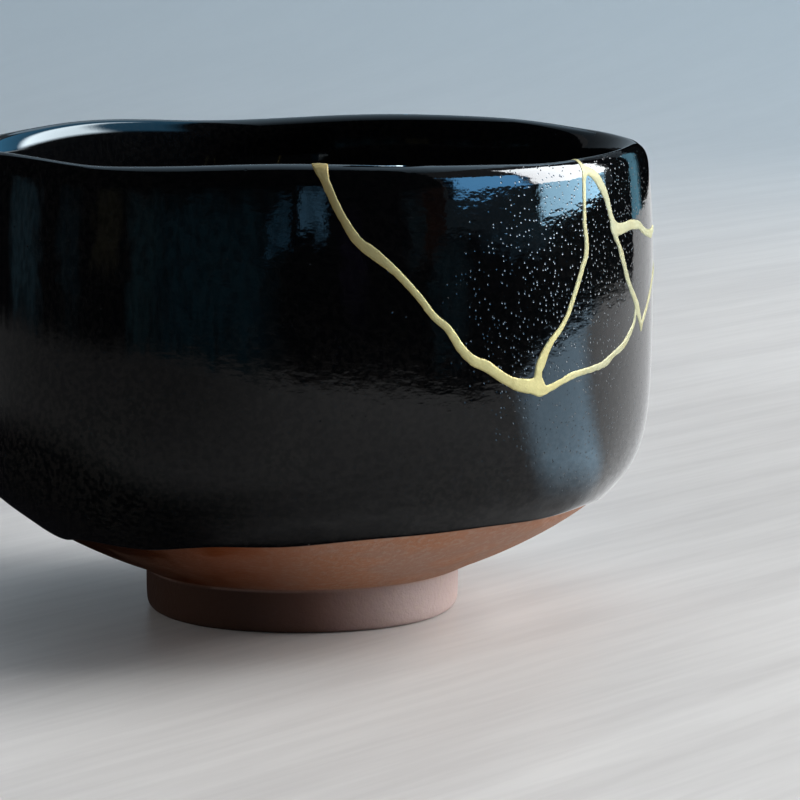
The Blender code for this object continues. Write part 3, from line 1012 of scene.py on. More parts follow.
def bowl_body(materials):
    """The bowl with a hole where the sherds fit in, glazed all over but for the underside and the foot."""
    shell = Shell()
    outside, gaps, clay_rows = lower_outside()
    faces = grid_faces(*outside.shape[:2])
    finish = np.where(np.arange(len(faces)) < clay_rows * ROUND_STEPS, CLAY, GLAZE)
    shell.add(outside, faces, finish=finish, edge_gap=gaps)

    inside_run = np.linspace(0.0, INNER.run_at(SHEET_START), INSIDE_ROWS)[:, None]
    inside = skin(INNER.at_run, inside_run, ROUND, side=-1)
    shell.add(inside, grid_faces(*inside.shape[:2]))

    x = ROUND * SHEET_RADIUS
    wall_rows = math.ceil((LIP_HEIGHT - SHEET_START) / SHEET_PITCH)
    rise = np.linspace(SHEET_START, LIP_HEIGHT, wall_rows)
    rise = np.concatenate([rise[:-1], np.linspace(LIP_HEIGHT, CREST_RISE, LIP_ROWS)])
    depths = [sherd_depth(name, x[None, :], rise[:, None]) for name in SHERD_LOOPS]
    field = clear_of_zero(-np.max(depths, axis=0) - HALF_GAP, SLIVER_SHARE * SHEET_PITCH)
    add_wall(shell, field, x, rise)
    return shell.build("bowl_body_glazed", *materials)


def sherd(name, *materials):
    """One broken-out piece of the wall, a little smaller than its loop of cracks."""
    loop = np.concatenate(SHERD_LOOPS[name])
    low = loop.min(axis=0) - SHERD_PITCH
    high = np.minimum(loop.max(axis=0) + SHERD_PITCH, (np.inf, CREST_RISE))
    x, rise = (np.arange(a, b, SHERD_PITCH) for a, b in zip(low, high))
    rise = np.linspace(low[1], high[1], len(rise) + 1)
    field = sherd_depth(name, x[None, :], rise[:, None]) - HALF_GAP
    shell = Shell()
    add_wall(shell, clear_of_zero(field, SLIVER_SHARE * SHERD_PITCH), x, rise)
    return shell.build(name + "_glazed", *materials)


def seam_lift(depth, x, rise):
    """Height of the gold over the glaze: a quarter-round shoulder at the edge and brush marks on its top."""
    form = bpy.context.scene.tea_bowl_form
    proud = form.seam_height / MM
    rise_share = np.clip(depth / SEAM_SHOULDER, 0.0, 1.0)
    round_up = np.sqrt(1.0 - (1.0 - rise_share) ** 2)
    places = np.stack([x, rise, 0.0 * x], axis=-1)
    uneven = layers(places, BRUSH_LAYERS, 1.0)
    crown = 1.0 + SEAM_CROWN * np.maximum(depth - SEAM_SHOULDER, 0.0)
    return round_up * (SEAM_SINK + proud * crown * uneven) - SEAM_SINK


def gold_seam(*materials):
    """The gold over all the cracks: a raised band on each face of the wall, joined over the lip."""
    points = np.concatenate([route[:, :2] for route in ROUTES.values()])
    low = points.min(axis=0) - SEAM_REACH
    high = (points[:, 0].max() + SEAM_REACH, CREST_RISE)
    x = np.arange(low[0], high[0], GOLD_PITCH)
    rise = np.linspace(low[1], high[1], round((high[1] - low[1]) / GOLD_PITCH))
    field = clear_of_zero(seam_depth(x, rise), GOLD_SLIVER_SHARE * GOLD_PITCH)
    row, column, depth, triangles, _ = cut_grid(field)
    x = np.interp(column, np.arange(len(x)), x)
    rise = np.interp(row, np.arange(len(rise)), rise)
    lift = seam_lift(depth, x, rise)
    shell = Shell()
    for read, side in ((OUTER.at_rise, 1), (INNER.at_rise, -1)):
        shell.add(skin(read, rise, x / SHEET_RADIUS, lift, side), triangles)
        shell.add(skin(read, rise, x / SHEET_RADIUS, -SEAM_SINK, side), triangles)
    return shell.build("gold_seam_lacquer", *materials)


# -------------------------------------------------------------------------------------------- finishes


class Bench:
    """Adds shader nodes to a tree. An input is given as a value or as another node's output."""

    def __init__(self, tree):
        self.tree = tree

    def node(self, kind, inputs, **settings):
        made = self.tree.nodes.new("ShaderNode" + kind)
        for name, value in settings.items():
            setattr(made, name, value)
        for name, value in inputs.items():
            socket = made.inputs[name]
            if isinstance(value, bpy.types.NodeSocket):
                self.tree.links.new(value, socket)
            else:
                socket.default_value = value
        return made

    def math(self, operation, first, second=0.0):
        return self.node("Math", {0: first, 1: second}, operation=operation).outputs[0]

    def fade(self, value, start, end, low=0.0, high=1.0):
        """low where the value is at start, high where it is at end and a smooth step between them."""
        inputs = {"Value": value, "From Min": start, "From Max": end, "To Min": low, "To Max": high}
        return self.node("MapRange", inputs, interpolation_type="SMOOTHSTEP").outputs[0]

    def mix(self, share, first, second):
        """The first colour where the share is 0, the second where it is 1."""
        inputs = {0: share, 6: first, 7: second}
        return self.node("Mix", inputs, data_type="RGBA").outputs[2]

    def noise(self, at, size, detail=0.0, roughness=0.5):
        """Noise of about 0.3 to 0.7 whose lumps are about this many millimetres apart."""
        inputs = {"Vector": at, "Scale": 1.0 / (size * MM), "Detail": detail, "Roughness": roughness}
        return self.node("TexNoise", inputs).outputs[0]

    def bump(self, height):
        """The normal of a face with this relief in metres."""
        return self.node("Bump", {"Height": height, "Distance": 1.0, "Strength": 1.0}).outputs[0]

    def group(self, name, inputs):
        """A copy of a named group with its inputs set."""
        made = self.node("Group", {}, node_tree=bpy.data.node_groups[name])
        for key, value in inputs.items():
            if isinstance(value, bpy.types.NodeSocket):
                self.tree.links.new(value, made.inputs[key])
            else:
                made.inputs[key].default_value = value
        return made.outputs

    def patches(self, at, size, cover):
        """The mask of soft patches."""
        return self.group("Soft Patches", {"Place": at, "Size": size, "Cover": cover})["Mask"]

    def grain(self, at, size, height):
        """The height of fine grain."""
        return self.group("Fine Grain", {"Place": at, "Size": size, "Height": height})["Height"]


def new_group(name, inputs, outputs):
    """An empty group with these sockets, each a name and a type, and the bench to fill it on."""
    tree = bpy.data.node_groups.new(name, "ShaderNodeTree")
    for key, kind in inputs:
        tree.interface.new_socket(name=key, in_out="INPUT", socket_type=kind)
    for key, kind in outputs:
        tree.interface.new_socket(name=key, in_out="OUTPUT", socket_type=kind)
    bench = Bench(tree)
    return bench, tree.nodes.new("NodeGroupInput").outputs, tree.nodes.new("NodeGroupOutput").inputs


def join(bench, output, target):
    bench.tree.links.new(output, target)


def make_patches_group():
    """Soft patches: a mask of cloudy areas. Size is their pitch in metres, Cover the share that they take."""
    inputs = [("Place", "NodeSocketVector"), ("Size", "NodeSocketFloat"), ("Cover", "NodeSocketFloat")]
    bench, entry, leave = new_group("Soft Patches", inputs, [("Mask", "NodeSocketFloat")])
    scale = bench.math("DIVIDE", 1.0, entry["Size"])
    noise = bench.node("TexNoise", {"Vector": entry["Place"], "Scale": scale, "Detail": 3.0}).outputs[0]
    edge = bench.math("SUBTRACT", 0.72, bench.math("MULTIPLY", entry["Cover"], 0.44))
    low = bench.math("SUBTRACT", edge, 0.1)
    high = bench.math("ADD", edge, 0.1)
    join(bench, bench.fade(noise, low, high), leave["Mask"])


def make_grain_group():
    """Fine grain: height in metres of lumps of this size and of others half and a quarter as big."""
    inputs = [("Place", "NodeSocketVector"), ("Size", "NodeSocketFloat"), ("Height", "NodeSocketFloat")]
    bench, entry, leave = new_group("Fine Grain", inputs, [("Height", "NodeSocketFloat")])
    scale = bench.math("DIVIDE", 1.0, entry["Size"])
    inputs = {"Vector": entry["Place"], "Scale": scale, "Detail": 2.0, "Roughness": 0.55}
    noise = bench.node("TexNoise", inputs).outputs[0]
    lumps = bench.math("MULTIPLY", bench.math("SUBTRACT", noise, 0.5), 2.0)
    join(bench, bench.math("MULTIPLY", lumps, entry["Height"]), leave["Height"])


def make_pinholes_group():
    """Pinholes: round dimples scattered at random.

    Each cell of the pattern, Spacing apart in metres, may hold one, Width across in metres. Share is the
    share of the cells that do. Mask is 1 in the middle of a dimple and 0 outside it.
    """
    kinds = ("Spacing", "Width", "Share")
    inputs = [("Place", "NodeSocketVector")] + [(key, "NodeSocketFloat") for key in kinds]
    bench, entry, leave = new_group("Pinholes", inputs, [("Mask", "NodeSocketFloat")])
    scale = bench.math("DIVIDE", 1.0, entry["Spacing"])
    cells = bench.node("TexVoronoi", {"Vector": entry["Place"], "Scale": scale, "Randomness": 0.9})
    chance = bench.node("SeparateColor", {"Color": cells.outputs["Color"]}).outputs[0]
    present = bench.math("LESS_THAN", chance, entry["Share"])
    reach = bench.math("MULTIPLY", bench.math("MULTIPLY", entry["Width"], scale), 0.5)
    dimple = bench.fade(cells.outputs["Distance"], reach, 0.0)
    join(bench, bench.math("MULTIPLY", dimple, present), leave["Mask"])


def new_material(name):
    """A material with nothing but its output, and the bench to build it on."""
    material = bpy.data.materials.new(name)
    material.use_nodes = True
    material.node_tree.nodes.clear()
    bench = Bench(material.node_tree)
    return material, bench, bench.node("OutputMaterial", {})


def opaque(colour):
    return (*colour, 1.0)


def place_on_object(bench):
    return bench.node("TexCoord", {}).outputs["Object"]


def black_glaze():
    """Raku black glaze: glossy, faintly uneven, brown where it lies thin, with a painted mottled reflection
    low down and pinholes in clusters.
    """
    finish = bpy.context.scene.tea_bowl_finish
    material, bench, output = new_material("glaze_finish")
    at = place_on_object(bench)

    clouds = bench.patches(at, *GLAZE_CLOUDS)
    specks = bench.patches(at, *GLAZE_SPECKS)
    thin = bench.math("MULTIPLY", bench.fade(clouds, *CLOUD_THIN), bench.fade(specks, *SPECK_THIN))
    rise = bench.node("SeparateXYZ", {"Vector": at}).outputs["Z"]
    # Low on the wall the thin glaze's colour is also a painted mottled reflection of the table.
    thin = bench.math("MULTIPLY", thin, bench.fade(rise, *SHEEN_BY_HEIGHT))
    colour = bench.mix(thin, opaque(finish.glaze), opaque(finish.thin_glaze_and_sheen))

    roughness = bench.math("ADD", bench.math("MULTIPLY", clouds, CLOUD_ROUGHNESS), finish.glaze_roughness)

    # The pinholes crowd on the right of the front and are few elsewhere.
    offset = bench.node("VectorMath", {0: at, 1: PINHOLE_CENTRE}, operation="DISTANCE").outputs["Value"]
    clumps = bench.fade(bench.noise(at, *CLUMP_NOISE), *CLUMP_SHARE)
    share = bench.math("MULTIPLY", bench.fade(offset, *PINHOLE_CROWD), clumps)
    pinholes = bench.group("Pinholes", {"Place": at, "Share": share, **GLAZE_PINHOLES})["Mask"]
    dimples = bench.math("MULTIPLY", pinholes, -finish.pinhole_depth)
    roughness = bench.math("ADD", roughness, bench.math("MULTIPLY", pinholes, PINHOLE_ROUGHNESS))

    fine = bench.grain(at, GLAZE_FINE_SIZE, GLAZE_FINE_SHARE * finish.glaze_grain)
    lying = bench.node("VectorMath", {0: at, 1: LYING_LUMPS}, operation="MULTIPLY").outputs[0]
    swell = bench.grain(lying, GLAZE_SWELL_SIZE, finish.glaze_grain)
    grain = bench.math("MULTIPLY", bench.math("ADD", fine, swell), bench.fade(offset, *GRAIN_REACH))
    normal = bench.bump(bench.math("ADD", dimples, grain))

    inputs = {"Base Color": colour, "Roughness": roughness, "Normal": normal, "IOR": GLAZE_IOR}
    shader = bench.node("BsdfPrincipled", inputs)
    join(bench, shader.outputs[0], output.inputs["Surface"])
    return material


def bare_clay():
    """Iron-bearing clay: matt and sandy, orange by the glaze, greyer on the foot, with painted shade on the
    left.
    """
    finish = bpy.context.scene.tea_bowl_finish
    material, bench, output = new_material("clay_finish")
    at = place_on_object(bench)
    parts = bench.node("SeparateXYZ", {"Vector": at}).outputs
    across = parts["X"]
    gap = bench.node("Attribute", {}, attribute_name=EDGE_GAP).outputs["Fac"]

    patches = bench.patches(at, *CLAY_PATCHES)
    specks = bench.patches(at, *CLAY_SPECKS)
    body = bench.mix(patches, opaque(finish.clay), opaque(finish.flushed_clay))
    flush = bench.math("MULTIPLY", bench.fade(gap, *FLUSH_REACH), FLUSH_SHARE)
    body = bench.mix(flush, body, opaque(finish.flushed_clay))
    foot_top = FOOT_HEIGHT * MM
    on_foot = bench.fade(parts["Z"], foot_top + FOOT_SOFTNESS, foot_top - FOOT_SOFTNESS)
    colour = bench.mix(on_foot, body, opaque(finish.foot_clay))
    colour = bench.mix(bench.math("MULTIPLY", specks, SAND_SHARE), colour, opaque(finish.sand))
    # Painted shade darkens the left of the underside, and the left and the front of the foot, away from the
    # window.
    painted_shade = bench.mix(on_foot, bench.fade(across, *SHADE_UNDERSIDE), bench.fade(across, *SHADE_FOOT))
    even = bench.math("MAXIMUM", on_foot, bench.fade(patches, *SHADE_IN_PATCHES))
    painted_shade = bench.math("MULTIPLY", painted_shade, even)
    deep_shade = bench.mix(on_foot, bench.fade(across, *DEEP_SHADE_UNDERSIDE), bench.fade(across, *DEEP_SHADE_FOOT))
    shaded_colour = bench.mix(on_foot, opaque(finish.shaded_clay), opaque(finish.shaded_foot))
    shaded_colour = bench.mix(bench.math("MULTIPLY", deep_shade, DEEP_SHADE_SHARE), shaded_colour, BLACK)
    colour = bench.mix(painted_shade, colour, shaded_colour)
    # Painted shadow: a dark line on the clay just under the glaze's rolled edge.
    edge_shadow = bench.fade(gap, *EDGE_SHADOW_REACH)
    colour = bench.mix(edge_shadow, colour, opaque(finish.edge_shadow_clay))

    lumps = bench.math("ADD", bench.grain(at, *CLAY_COARSE), bench.grain(at, *CLAY_FINE))
    holes = bench.group("Pinholes", {"Place": at, **CLAY_PINHOLES})["Mask"]
    height = bench.math("ADD", lumps, bench.math("MULTIPLY", holes, -CLAY_PINHOLE_DEPTH))

    inputs = {
        "Base Color": colour,
        "Roughness": bench.fade(patches, *CLAY_ROUGHNESS),
        "Normal": bench.bump(height),
        "Specular IOR Level": CLAY_SPECULAR,
    }
    shader = bench.node("BsdfPrincipled", inputs)
    join(bench, shader.outputs[0], output.inputs["Surface"])
    return material


def gold_lacquer():
    """Gold powder dusted on lacquer and lightly burnished: partly metal, mostly matt, in fine grains."""
    finish = bpy.context.scene.tea_bowl_finish
    material, bench, output = new_material("gold_finish")
    at = place_on_object(bench)
    patches = bench.patches(at, *GOLD_PATCHES)
    grains = bench.patches(at, *GOLD_GRAINS)
    # Painted shade darkens the gold at the left end and a painted highlight makes it pale at the right; it is
    # full in the middle.
    across = bench.node("SeparateXYZ", {"Vector": at}).outputs["X"]
    worn_and_shaded = opaque(finish.worn_and_shaded_gold)
    colour = bench.mix(bench.fade(across, *SHADED_TO_FULL), worn_and_shaded, opaque(finish.gold))
    colour = bench.mix(bench.fade(across, *FULL_TO_LIT), colour, opaque(finish.lit_gold))
    colour = bench.mix(bench.math("MULTIPLY", patches, WORN_IN_PATCHES), colour, worn_and_shaded)
    colour = bench.mix(bench.math("MULTIPLY", grains, WORN_IN_GRAINS), colour, worn_and_shaded)
    height = bench.math("ADD", bench.grain(at, *GOLD_POWDER), bench.grain(at, *GOLD_BRUSH))
    inputs = {
        "Base Color": colour,
        "Roughness": bench.fade(grains, *GOLD_ROUGHNESS),
        "Normal": bench.bump(height),
        "Metallic": GOLD_METALLIC,
        "Specular IOR Level": 0.5,
    }
    shader = bench.node("BsdfPrincipled", inputs)
    join(bench, shader.outputs[0], output.inputs["Surface"])
    return material


FINISHES = {"glaze_finish": black_glaze, "clay_finish": bare_clay, "gold_finish": gold_lacquer}
GROUPS = {"Soft Patches": make_patches_group, "Fine Grain": make_grain_group, "Pinholes": make_pinholes_group}


def finish_named(name):
    """The material of this name, made the first time that it is asked for."""
    for group, make in GROUPS.items():
        if group not in bpy.data.node_groups:
            make()
    return bpy.data.materials.get(name) or FINISHES[name]()


# --------------------------------------------------------------------------------------------- studio


def surface_object(name, points, material):
    """A grid of points, in metres, as a smooth object of the stage."""
    mesh = bpy.data.meshes.new(name)
    mesh.from_pydata(points.reshape(-1, 3).tolist(), [], grid_faces(*points.shape[:2]).tolist())
    mesh.materials.append(material)
    mesh.shade_smooth()
    thing = bpy.data.objects.new(name, mesh)
    bpy.context.scene.collection.objects.link(thing)
    return thing


def sweep_points():
    """The floor and the wall behind it: flat, then a quarter circle up, then upright."""
    flat = np.linspace(-SWEEP_FRONT, SWEEP_BACK, 12)
    turn = np.linspace(0.0, 0.5 * math.pi, 25)[1:]
    y = np.concatenate([flat, SWEEP_BACK + SWEEP_RADIUS * np.sin(turn), [SWEEP_BACK + SWEEP_RADIUS]])
    z = np.concatenate([0.0 * flat, SWEEP_RADIUS * (1.0 - np.cos(turn)), [SWEEP_TOP]])
    x = np.linspace(-SWEEP_SIDE, SWEEP_SIDE, 9)
    return np.stack(np.broadcast_arrays(x, y[:, None], z[:, None]), axis=-1)


def floor_material():
    """A pale table top, faintly streaked, which turns blue-grey with distance and up the back."""
    stage = bpy.context.scene.tea_bowl_stage
    material, bench, output = new_material("stage_floor")
    at = place_on_object(bench)
    parts = bench.node("SeparateXYZ", {"Vector": at}).outputs
    # The wood's grain runs away to the right: long fine streaks over broad soft ones.
    lengthways = {"Vector": at, "Rotation": (0.0, 0.0, STREAK_TURN), "Scale": (STREAK_STRETCH, 1.0, 1.0)}
    streaks = bench.node("Mapping", lengthways, vector_type="TEXTURE").outputs[0]
    both = (STREAK_FINE, STREAK_BROAD)
    fine, broad = (bench.fade(bench.noise(streaks, *noise), *read) for noise, read in both)
    fine = bench.math("MULTIPLY", fine, STREAK_FINE_SHARE)
    streak = bench.math("ADD", fine, bench.math("MULTIPLY", broad, 1.0 - STREAK_FINE_SHARE))
    colour = bench.mix(streak, opaque(stage.floor), opaque(stage.streak))
    # Painted shade: the table darkens a little behind the bowl, where the window lights it more.
    colour = bench.mix(bench.fade(parts["Y"], *FLOOR_PAINTED_SHADE), colour, BLACK)
    colour = bench.mix(bench.fade(parts["Y"], *FLOOR_AWAY), colour, opaque(stage.backdrop))
    inputs = {"Base Color": colour, "Roughness": FLOOR_ROUGHNESS, "IOR": FLOOR_IOR}
    shader = bench.node("BsdfPrincipled", inputs)
    join(bench, shader.outputs[0], output.inputs["Surface"])
    return material


def card_points(azimuths, low, high, radius):
    """A standing card bent round the bowl: part of a cylinder between two azimuths.

    low and high are the heights of its lower and upper edge, as one number or as one for each of its columns.
    """
    angle = np.radians(azimuths)
    z = np.stack(np.broadcast_arrays(low, high, angle)[:2])
    return np.stack(np.broadcast_arrays(radius * np.sin(angle), -radius * np.cos(angle), z), axis=-1)


def azimuth_of(bench, parts):
    """The azimuth in degrees from the front towards +X, from the x and y of a place."""
    turn = bench.math("ARCTAN2", parts["X"], bench.math("MULTIPLY", parts["Y"], -1.0))
    return bench.math("MULTIPLY", turn, 180.0 / math.pi)


def soft_window(bench, value, middle, half_width):
    """1 near the middle, falling smoothly to 0 at the half width and beyond."""
    away = bench.math("ABSOLUTE", bench.math("SUBTRACT", value, middle))
    return bench.fade(away, half_width, SPOT_CORE * half_width)


def table_glow(bench, parts, azimuth, radius):
    """The table's colour in the gloss: dark in the bowl's shadow and blue where the window lies.

    It rises from dim on the left to bright on the right and behind. The shadow is the stretch close to the
    bowl on the left and close to the foot all round. The window's glare is a soft band along one azimuth.
    """
    stage = bpy.context.scene.tea_bowl_stage
    dim, plain, bright = (opaque(share * c for c in stage.table_gloss) for share in TABLE_STEPS)
    across = bench.math("ADD", parts["X"], bench.math("MULTIPLY", radius, TABLE_ACROSS_LEAN))
    colour = bench.mix(bench.fade(across, *TABLE_ACROSS), dim, plain)
    colour = bench.mix(bench.fade(azimuth, *TABLE_ROUND), colour, bright)
    edge = bench.fade(azimuth, *SHADOW_REACH)
    shade = bench.fade(bench.math("DIVIDE", radius, edge), *SHADOW_EDGE)
    shade = bench.math("MULTIPLY", shade, bench.fade(azimuth, *SHADOW_SIDE))
    shade = bench.math("MAXIMUM", shade, bench.fade(radius, *SHADOW_AT_FOOT))
    colour = bench.mix(shade, colour, SHADOW_COLOUR)
    band = soft_window(bench, azimuth, *GLARE_AZIMUTHS)
    glare = bench.math("MULTIPLY", band, bench.fade(radius, *GLARE_FROM))
    return bench.mix(glare, colour, opaque(stage.glare))


def card_material(name, azimuths, colour, strength):
    """Plain light whose two sides fade out along a wavy line."""
    material, bench, output = new_material(name)
    at = place_on_object(bench)
    waver = bench.math("SUBTRACT", bench.noise(at, *CARD_WAVER), 0.5)
    azimuth = azimuth_of(bench, bench.node("SeparateXYZ", {"Vector": at}).outputs)
    azimuth = bench.math("ADD", azimuth, bench.math("MULTIPLY", waver, CARD_WAVER_TURN))
    left, right = azimuths
    on_left = bench.fade(azimuth, left, left + CARD_SOFTNESS)
    on_right = bench.fade(azimuth, right, right - CARD_SOFTNESS)
    glow = bench.math("MULTIPLY", bench.math("MULTIPLY", on_left, on_right), strength)
    shader = bench.node("Emission", {"Color": opaque(colour), "Strength": glow})
    join(bench, shader.outputs[0], output.inputs["Surface"])
    return material


def room_material():
    """The dim room: nearly black, with soft spots of colour and the table's glow at its foot."""
    material, bench, output = new_material("stage_room")
    at = place_on_object(bench)
    parts = bench.node("SeparateXYZ", {"Vector": at}).outputs
    waver = bench.math("SUBTRACT", bench.noise(at, *ROOM_WAVER), 0.5)
    azimuth = bench.math("ADD", azimuth_of(bench, parts), bench.math("MULTIPLY", waver, ROOM_WAVER_TURN))
    height = bench.math("ADD", parts["Z"], bench.math("MULTIPLY", waver, ROOM_WAVER_RISE))
    colour = ROOM_DARK
    for (middle, level), (half_width, half_height), tint, strength in ROOM_SPOTS:
        across = soft_window(bench, azimuth, middle, half_width)
        up = soft_window(bench, height, level, half_height)
        glow = opaque(strength * share for share in tint)
        colour = bench.mix(bench.math("MULTIPLY", across, up), colour, glow)
    noise, read = ROOM_FOLDS
    folds = bench.fade(bench.noise(at, *noise), *read)
    rise = bench.node("Attribute", {}, attribute_name=CARD_RISE).outputs["Fac"]
    rise = bench.math("ADD", rise, bench.math("MULTIPLY", waver, ROOM_FOOT_WAVER))
    foot = bench.fade(rise, *ROOM_FOOT)
    strength = bench.math("ADD", bench.math("MULTIPLY", folds, bench.math("SUBTRACT", 1.0, foot)), foot)
    colour = bench.mix(foot, colour, table_glow(bench, parts, azimuth, 2.0 * ROOM_RADIUS))
    shader = bench.node("Emission", {"Color": colour, "Strength": strength})
    join(bench, shader.outputs[0], output.inputs["Surface"])
    return material


def light_one_side(bench, output, colour, strength, inner):
    """Light from one side of a card, clear from its other side. Inner picks the back of its faces."""
    glow = bench.node("Emission", {"Color": colour, "Strength": strength}).outputs[0]
    clear = bench.node("BsdfTransparent", {}).outputs[0]
    back = bench.node("NewGeometry", {}).outputs["Backfacing"]
    sides = {1: clear, 2: glow} if inner else {1: glow, 2: clear}
    shader = bench.node("MixShader", {0: back, **sides})
    join(bench, shader.outputs[0], output.inputs["Surface"])


def mouth_material():
    """The sky over the bowl's mouth as its far wall shows it: black, with the window's light on the right.

    Both lights end in front along an edge that leans, and below along one that sinks towards the back.
    """
    material, bench, output = new_material("stage_mouth_card")
    parts = bench.node("SeparateXYZ", {"Vector": place_on_object(bench)}).outputs
    lean = bench.math("MULTIPLY", bench.math("SUBTRACT", parts["Z"], MOUTH_LEAN_FROM), MOUTH_LEAN)
    along = bench.math("SUBTRACT", parts["Y"], lean)
    sink = bench.math("MULTIPLY", bench.math("SUBTRACT", parts["Y"], MOUTH_SINK_FROM), MOUTH_SINK)
    level = bench.fade(bench.math("ADD", parts["Z"], sink), *MOUTH_LEVEL)
    beside = bench.math("MULTIPLY", bench.fade(along, *MOUTH_BLUE_FRONT), level)
    colour = bench.mix(beside, BLACK, opaque(MOUTH_BLUE))
    front = bench.fade(along, *MOUTH_WINDOW_FRONT)
    window = bench.math("MULTIPLY", front, bench.fade(parts["Y"], *MOUTH_WINDOW_FAR))
    window = bench.math("MULTIPLY", window, level)
    colour = bench.mix(window, colour, opaque(MOUTH_WINDOW))
    light_one_side(bench, output, colour, 1.0, True)
    return material


def mouth_card_points(x, y):
    """A standing card in the mouth, over these places in plan."""
    return np.stack(np.broadcast_arrays(x, y, np.array(MOUTH_HEIGHTS)[:, None]), axis=-1)


def ceiling_material():
    """The ceiling, brightest over and behind the bowl, and fading towards the front and the left."""
    material, bench, output = new_material("stage_ceiling_card")
    parts = bench.node("SeparateXYZ", {"Vector": place_on_object(bench)}).outputs
    along = bench.fade(parts["Y"], *CEILING_ALONG)
    glow = bench.math("MULTIPLY", along, bench.fade(parts["X"], *CEILING_ACROSS))
    shader = bench.node("Emission", {"Color": opaque(CEILING_GLOW), "Strength": glow})
    join(bench, shader.outputs[0], output.inputs["Surface"])
    return material


def table_gloss_material():
    """The table as the bowl's gloss sees it from above; from below, as the floor sees it, it is clear."""
    material, bench, output = new_material("stage_table_gloss")
    at = place_on_object(bench)
    parts = bench.node("SeparateXYZ", {"Vector": at}).outputs
    radius = bench.node("VectorMath", {0: at}, operation="LENGTH").outputs["Value"]
    colour = table_glow(bench, parts, azimuth_of(bench, parts), radius)
    noise, read = TABLE_GRAIN
    grain = bench.fade(bench.noise(at, *noise), *read)
    light_one_side(bench, output, colour, grain, False)
    return material


def show_only_in_gloss(thing):
    """Leaves a card to be seen in reflections alone: it casts no light on matt faces and no shadow."""
    thing.visible_camera = False
    thing.visible_diffuse = False
    thing.visible_transmission = False
    thing.visible_shadow = False


def add_card(name, points, material):
    """A card of this shape and finish that only reflections see."""
    card = surface_object(name, points, material)
    show_only_in_gloss(card)
    return card


def mark_rise(card, foot):
    """Marks a standing card's lower row of points with this share of its rise, and its upper row with 1."""
    count = len(card.data.vertices) // 2
    rise = card.data.attributes.new(CARD_RISE, "FLOAT", "POINT")
    rise.data.foreach_set("value", np.repeat([foot, 1.0], count).astype(np.float32))


def add_cards():
    """The window and its surroundings, the dim room, the ceiling and the table, as the gloss sees them."""
    for name, azimuths, heights, radius, colour, strength in CARDS:
        points = card_points(np.linspace(*azimuths, CARD_STEPS), *heights, radius)
        add_card(name, points, card_material("stage_" + name, azimuths, colour, strength))

    mouth = mouth_material()
    angle = np.linspace(*np.radians(MOUTH_AZIMUTHS), CARD_STEPS)
    front = mouth_card_points(MOUTH_RADIUS * np.sin(angle), -MOUTH_RADIUS * np.cos(angle))
    add_card("mouth_front_card", front, mouth)
    side_x, side_y = MOUTH_SIDE
    add_card("mouth_side_card", mouth_card_points(side_x, np.array(side_y)), mouth)

    room = room_material()
    edge_azimuths, edge_heights = np.array(ROOM_LOWER_EDGE).T
    azimuths = np.linspace(edge_azimuths[0], edge_azimuths[-1], 4 * CARD_STEPS)
    low = np.interp(azimuths, edge_azimuths, edge_heights)
    mark_rise(add_card("low_room_card", card_points(azimuths, low, ROOM_TOP, ROOM_RADIUS), room), 0.0)
    for number, azimuths in enumerate(HIGH_ROOM, 1):
        points = card_points(np.linspace(*azimuths, CARD_STEPS), ROOM_TOP, HIGH_ROOM_TOP, ROOM_RADIUS)
        mark_rise(add_card(f"high_room_card_{number}", points, room), 1.0)

    across, along, height = CEILING
    corners = np.stack(np.broadcast_arrays(np.array(across), np.array(along)[:, None], height), axis=-1)
    add_card("ceiling_card", corners, ceiling_material())

    angle = np.linspace(-math.pi, math.pi, 4 * CARD_STEPS)
    radii = np.array(TABLE_RING)[::-1, None]
    ring = np.stack(np.broadcast_arrays(radii * np.sin(angle), -radii * np.cos(angle), TABLE_LIFT), axis=-1)
    add_card("table_gloss_card", ring, table_gloss_material())


def add_area_light(name, azimuth, elevation, distance, size, power, colour):
    """A soft box that looks at the middle of the bowl from this direction and that gloss doesn't show."""
    lamp = bpy.data.lights.new(name, "AREA")
    lamp.shape = "RECTANGLE"
    lamp.size, lamp.size_y = size
    lamp.energy = power
    lamp.color = colour
    thing = bpy.data.objects.new(name, lamp)
    across, up = math.radians(azimuth), math.radians(elevation)
    side = Vector((math.sin(across), -math.cos(across), 0.0))
    direction = side * math.cos(up) + Vector((0.0, 0.0, math.sin(up)))
    thing.location = direction * distance + Vector((0.0, 0.0, LOOK_AT_HEIGHT))
    thing.rotation_euler = direction.to_track_quat("Z", "Y").to_euler()
    thing.visible_glossy = False
    bpy.context.scene.collection.objects.link(thing)


def build_stage():
    """The table, the lights, the cards and the camera."""
    scene = bpy.context.scene
    stage = scene.tea_bowl_stage
    surface_object("floor", sweep_points(), floor_material())

    world = bpy.data.worlds.new("studio")
    world.use_nodes = True
    background = world.node_tree.nodes["Background"]
    background.inputs["Color"].default_value = WORLD_COLOUR
    background.inputs["Strength"].default_value = stage.fill
    scene.world = world

    for name, azimuth, elevation, distance, size, tint in LIGHTS:
        add_area_light(name, azimuth, elevation, distance, size, getattr(stage, name), tint)

    add_cards()

    camera = bpy.data.objects.new("camera", bpy.data.cameras.new("camera"))
    camera.data.sensor_width = SENSOR_WIDTH
    camera.data.lens = CAMERA_LENS
    camera.data.clip_start = CLIP_START
    camera.location = (0.0, -CAMERA_DISTANCE, CAMERA_HEIGHT)
    camera.rotation_euler = (0.5 * math.pi - CAMERA_PITCH, 0.0, -CAMERA_YAW)
    scene.collection.objects.link(camera)
    scene.camera = camera
    scene.view_settings.view_transform = "Standard"


# ------------------------------------------------------------------------------------------ the add-on


def amount(name, description, default, **limits):
    return FloatProperty(name=name, description=description, default=default, **limits)


def length(name, description, default, **limits):
    """A size in metres that the sidebar shows in scene units."""
    return amount(name, description, default, unit="LENGTH", precision=5, **limits)


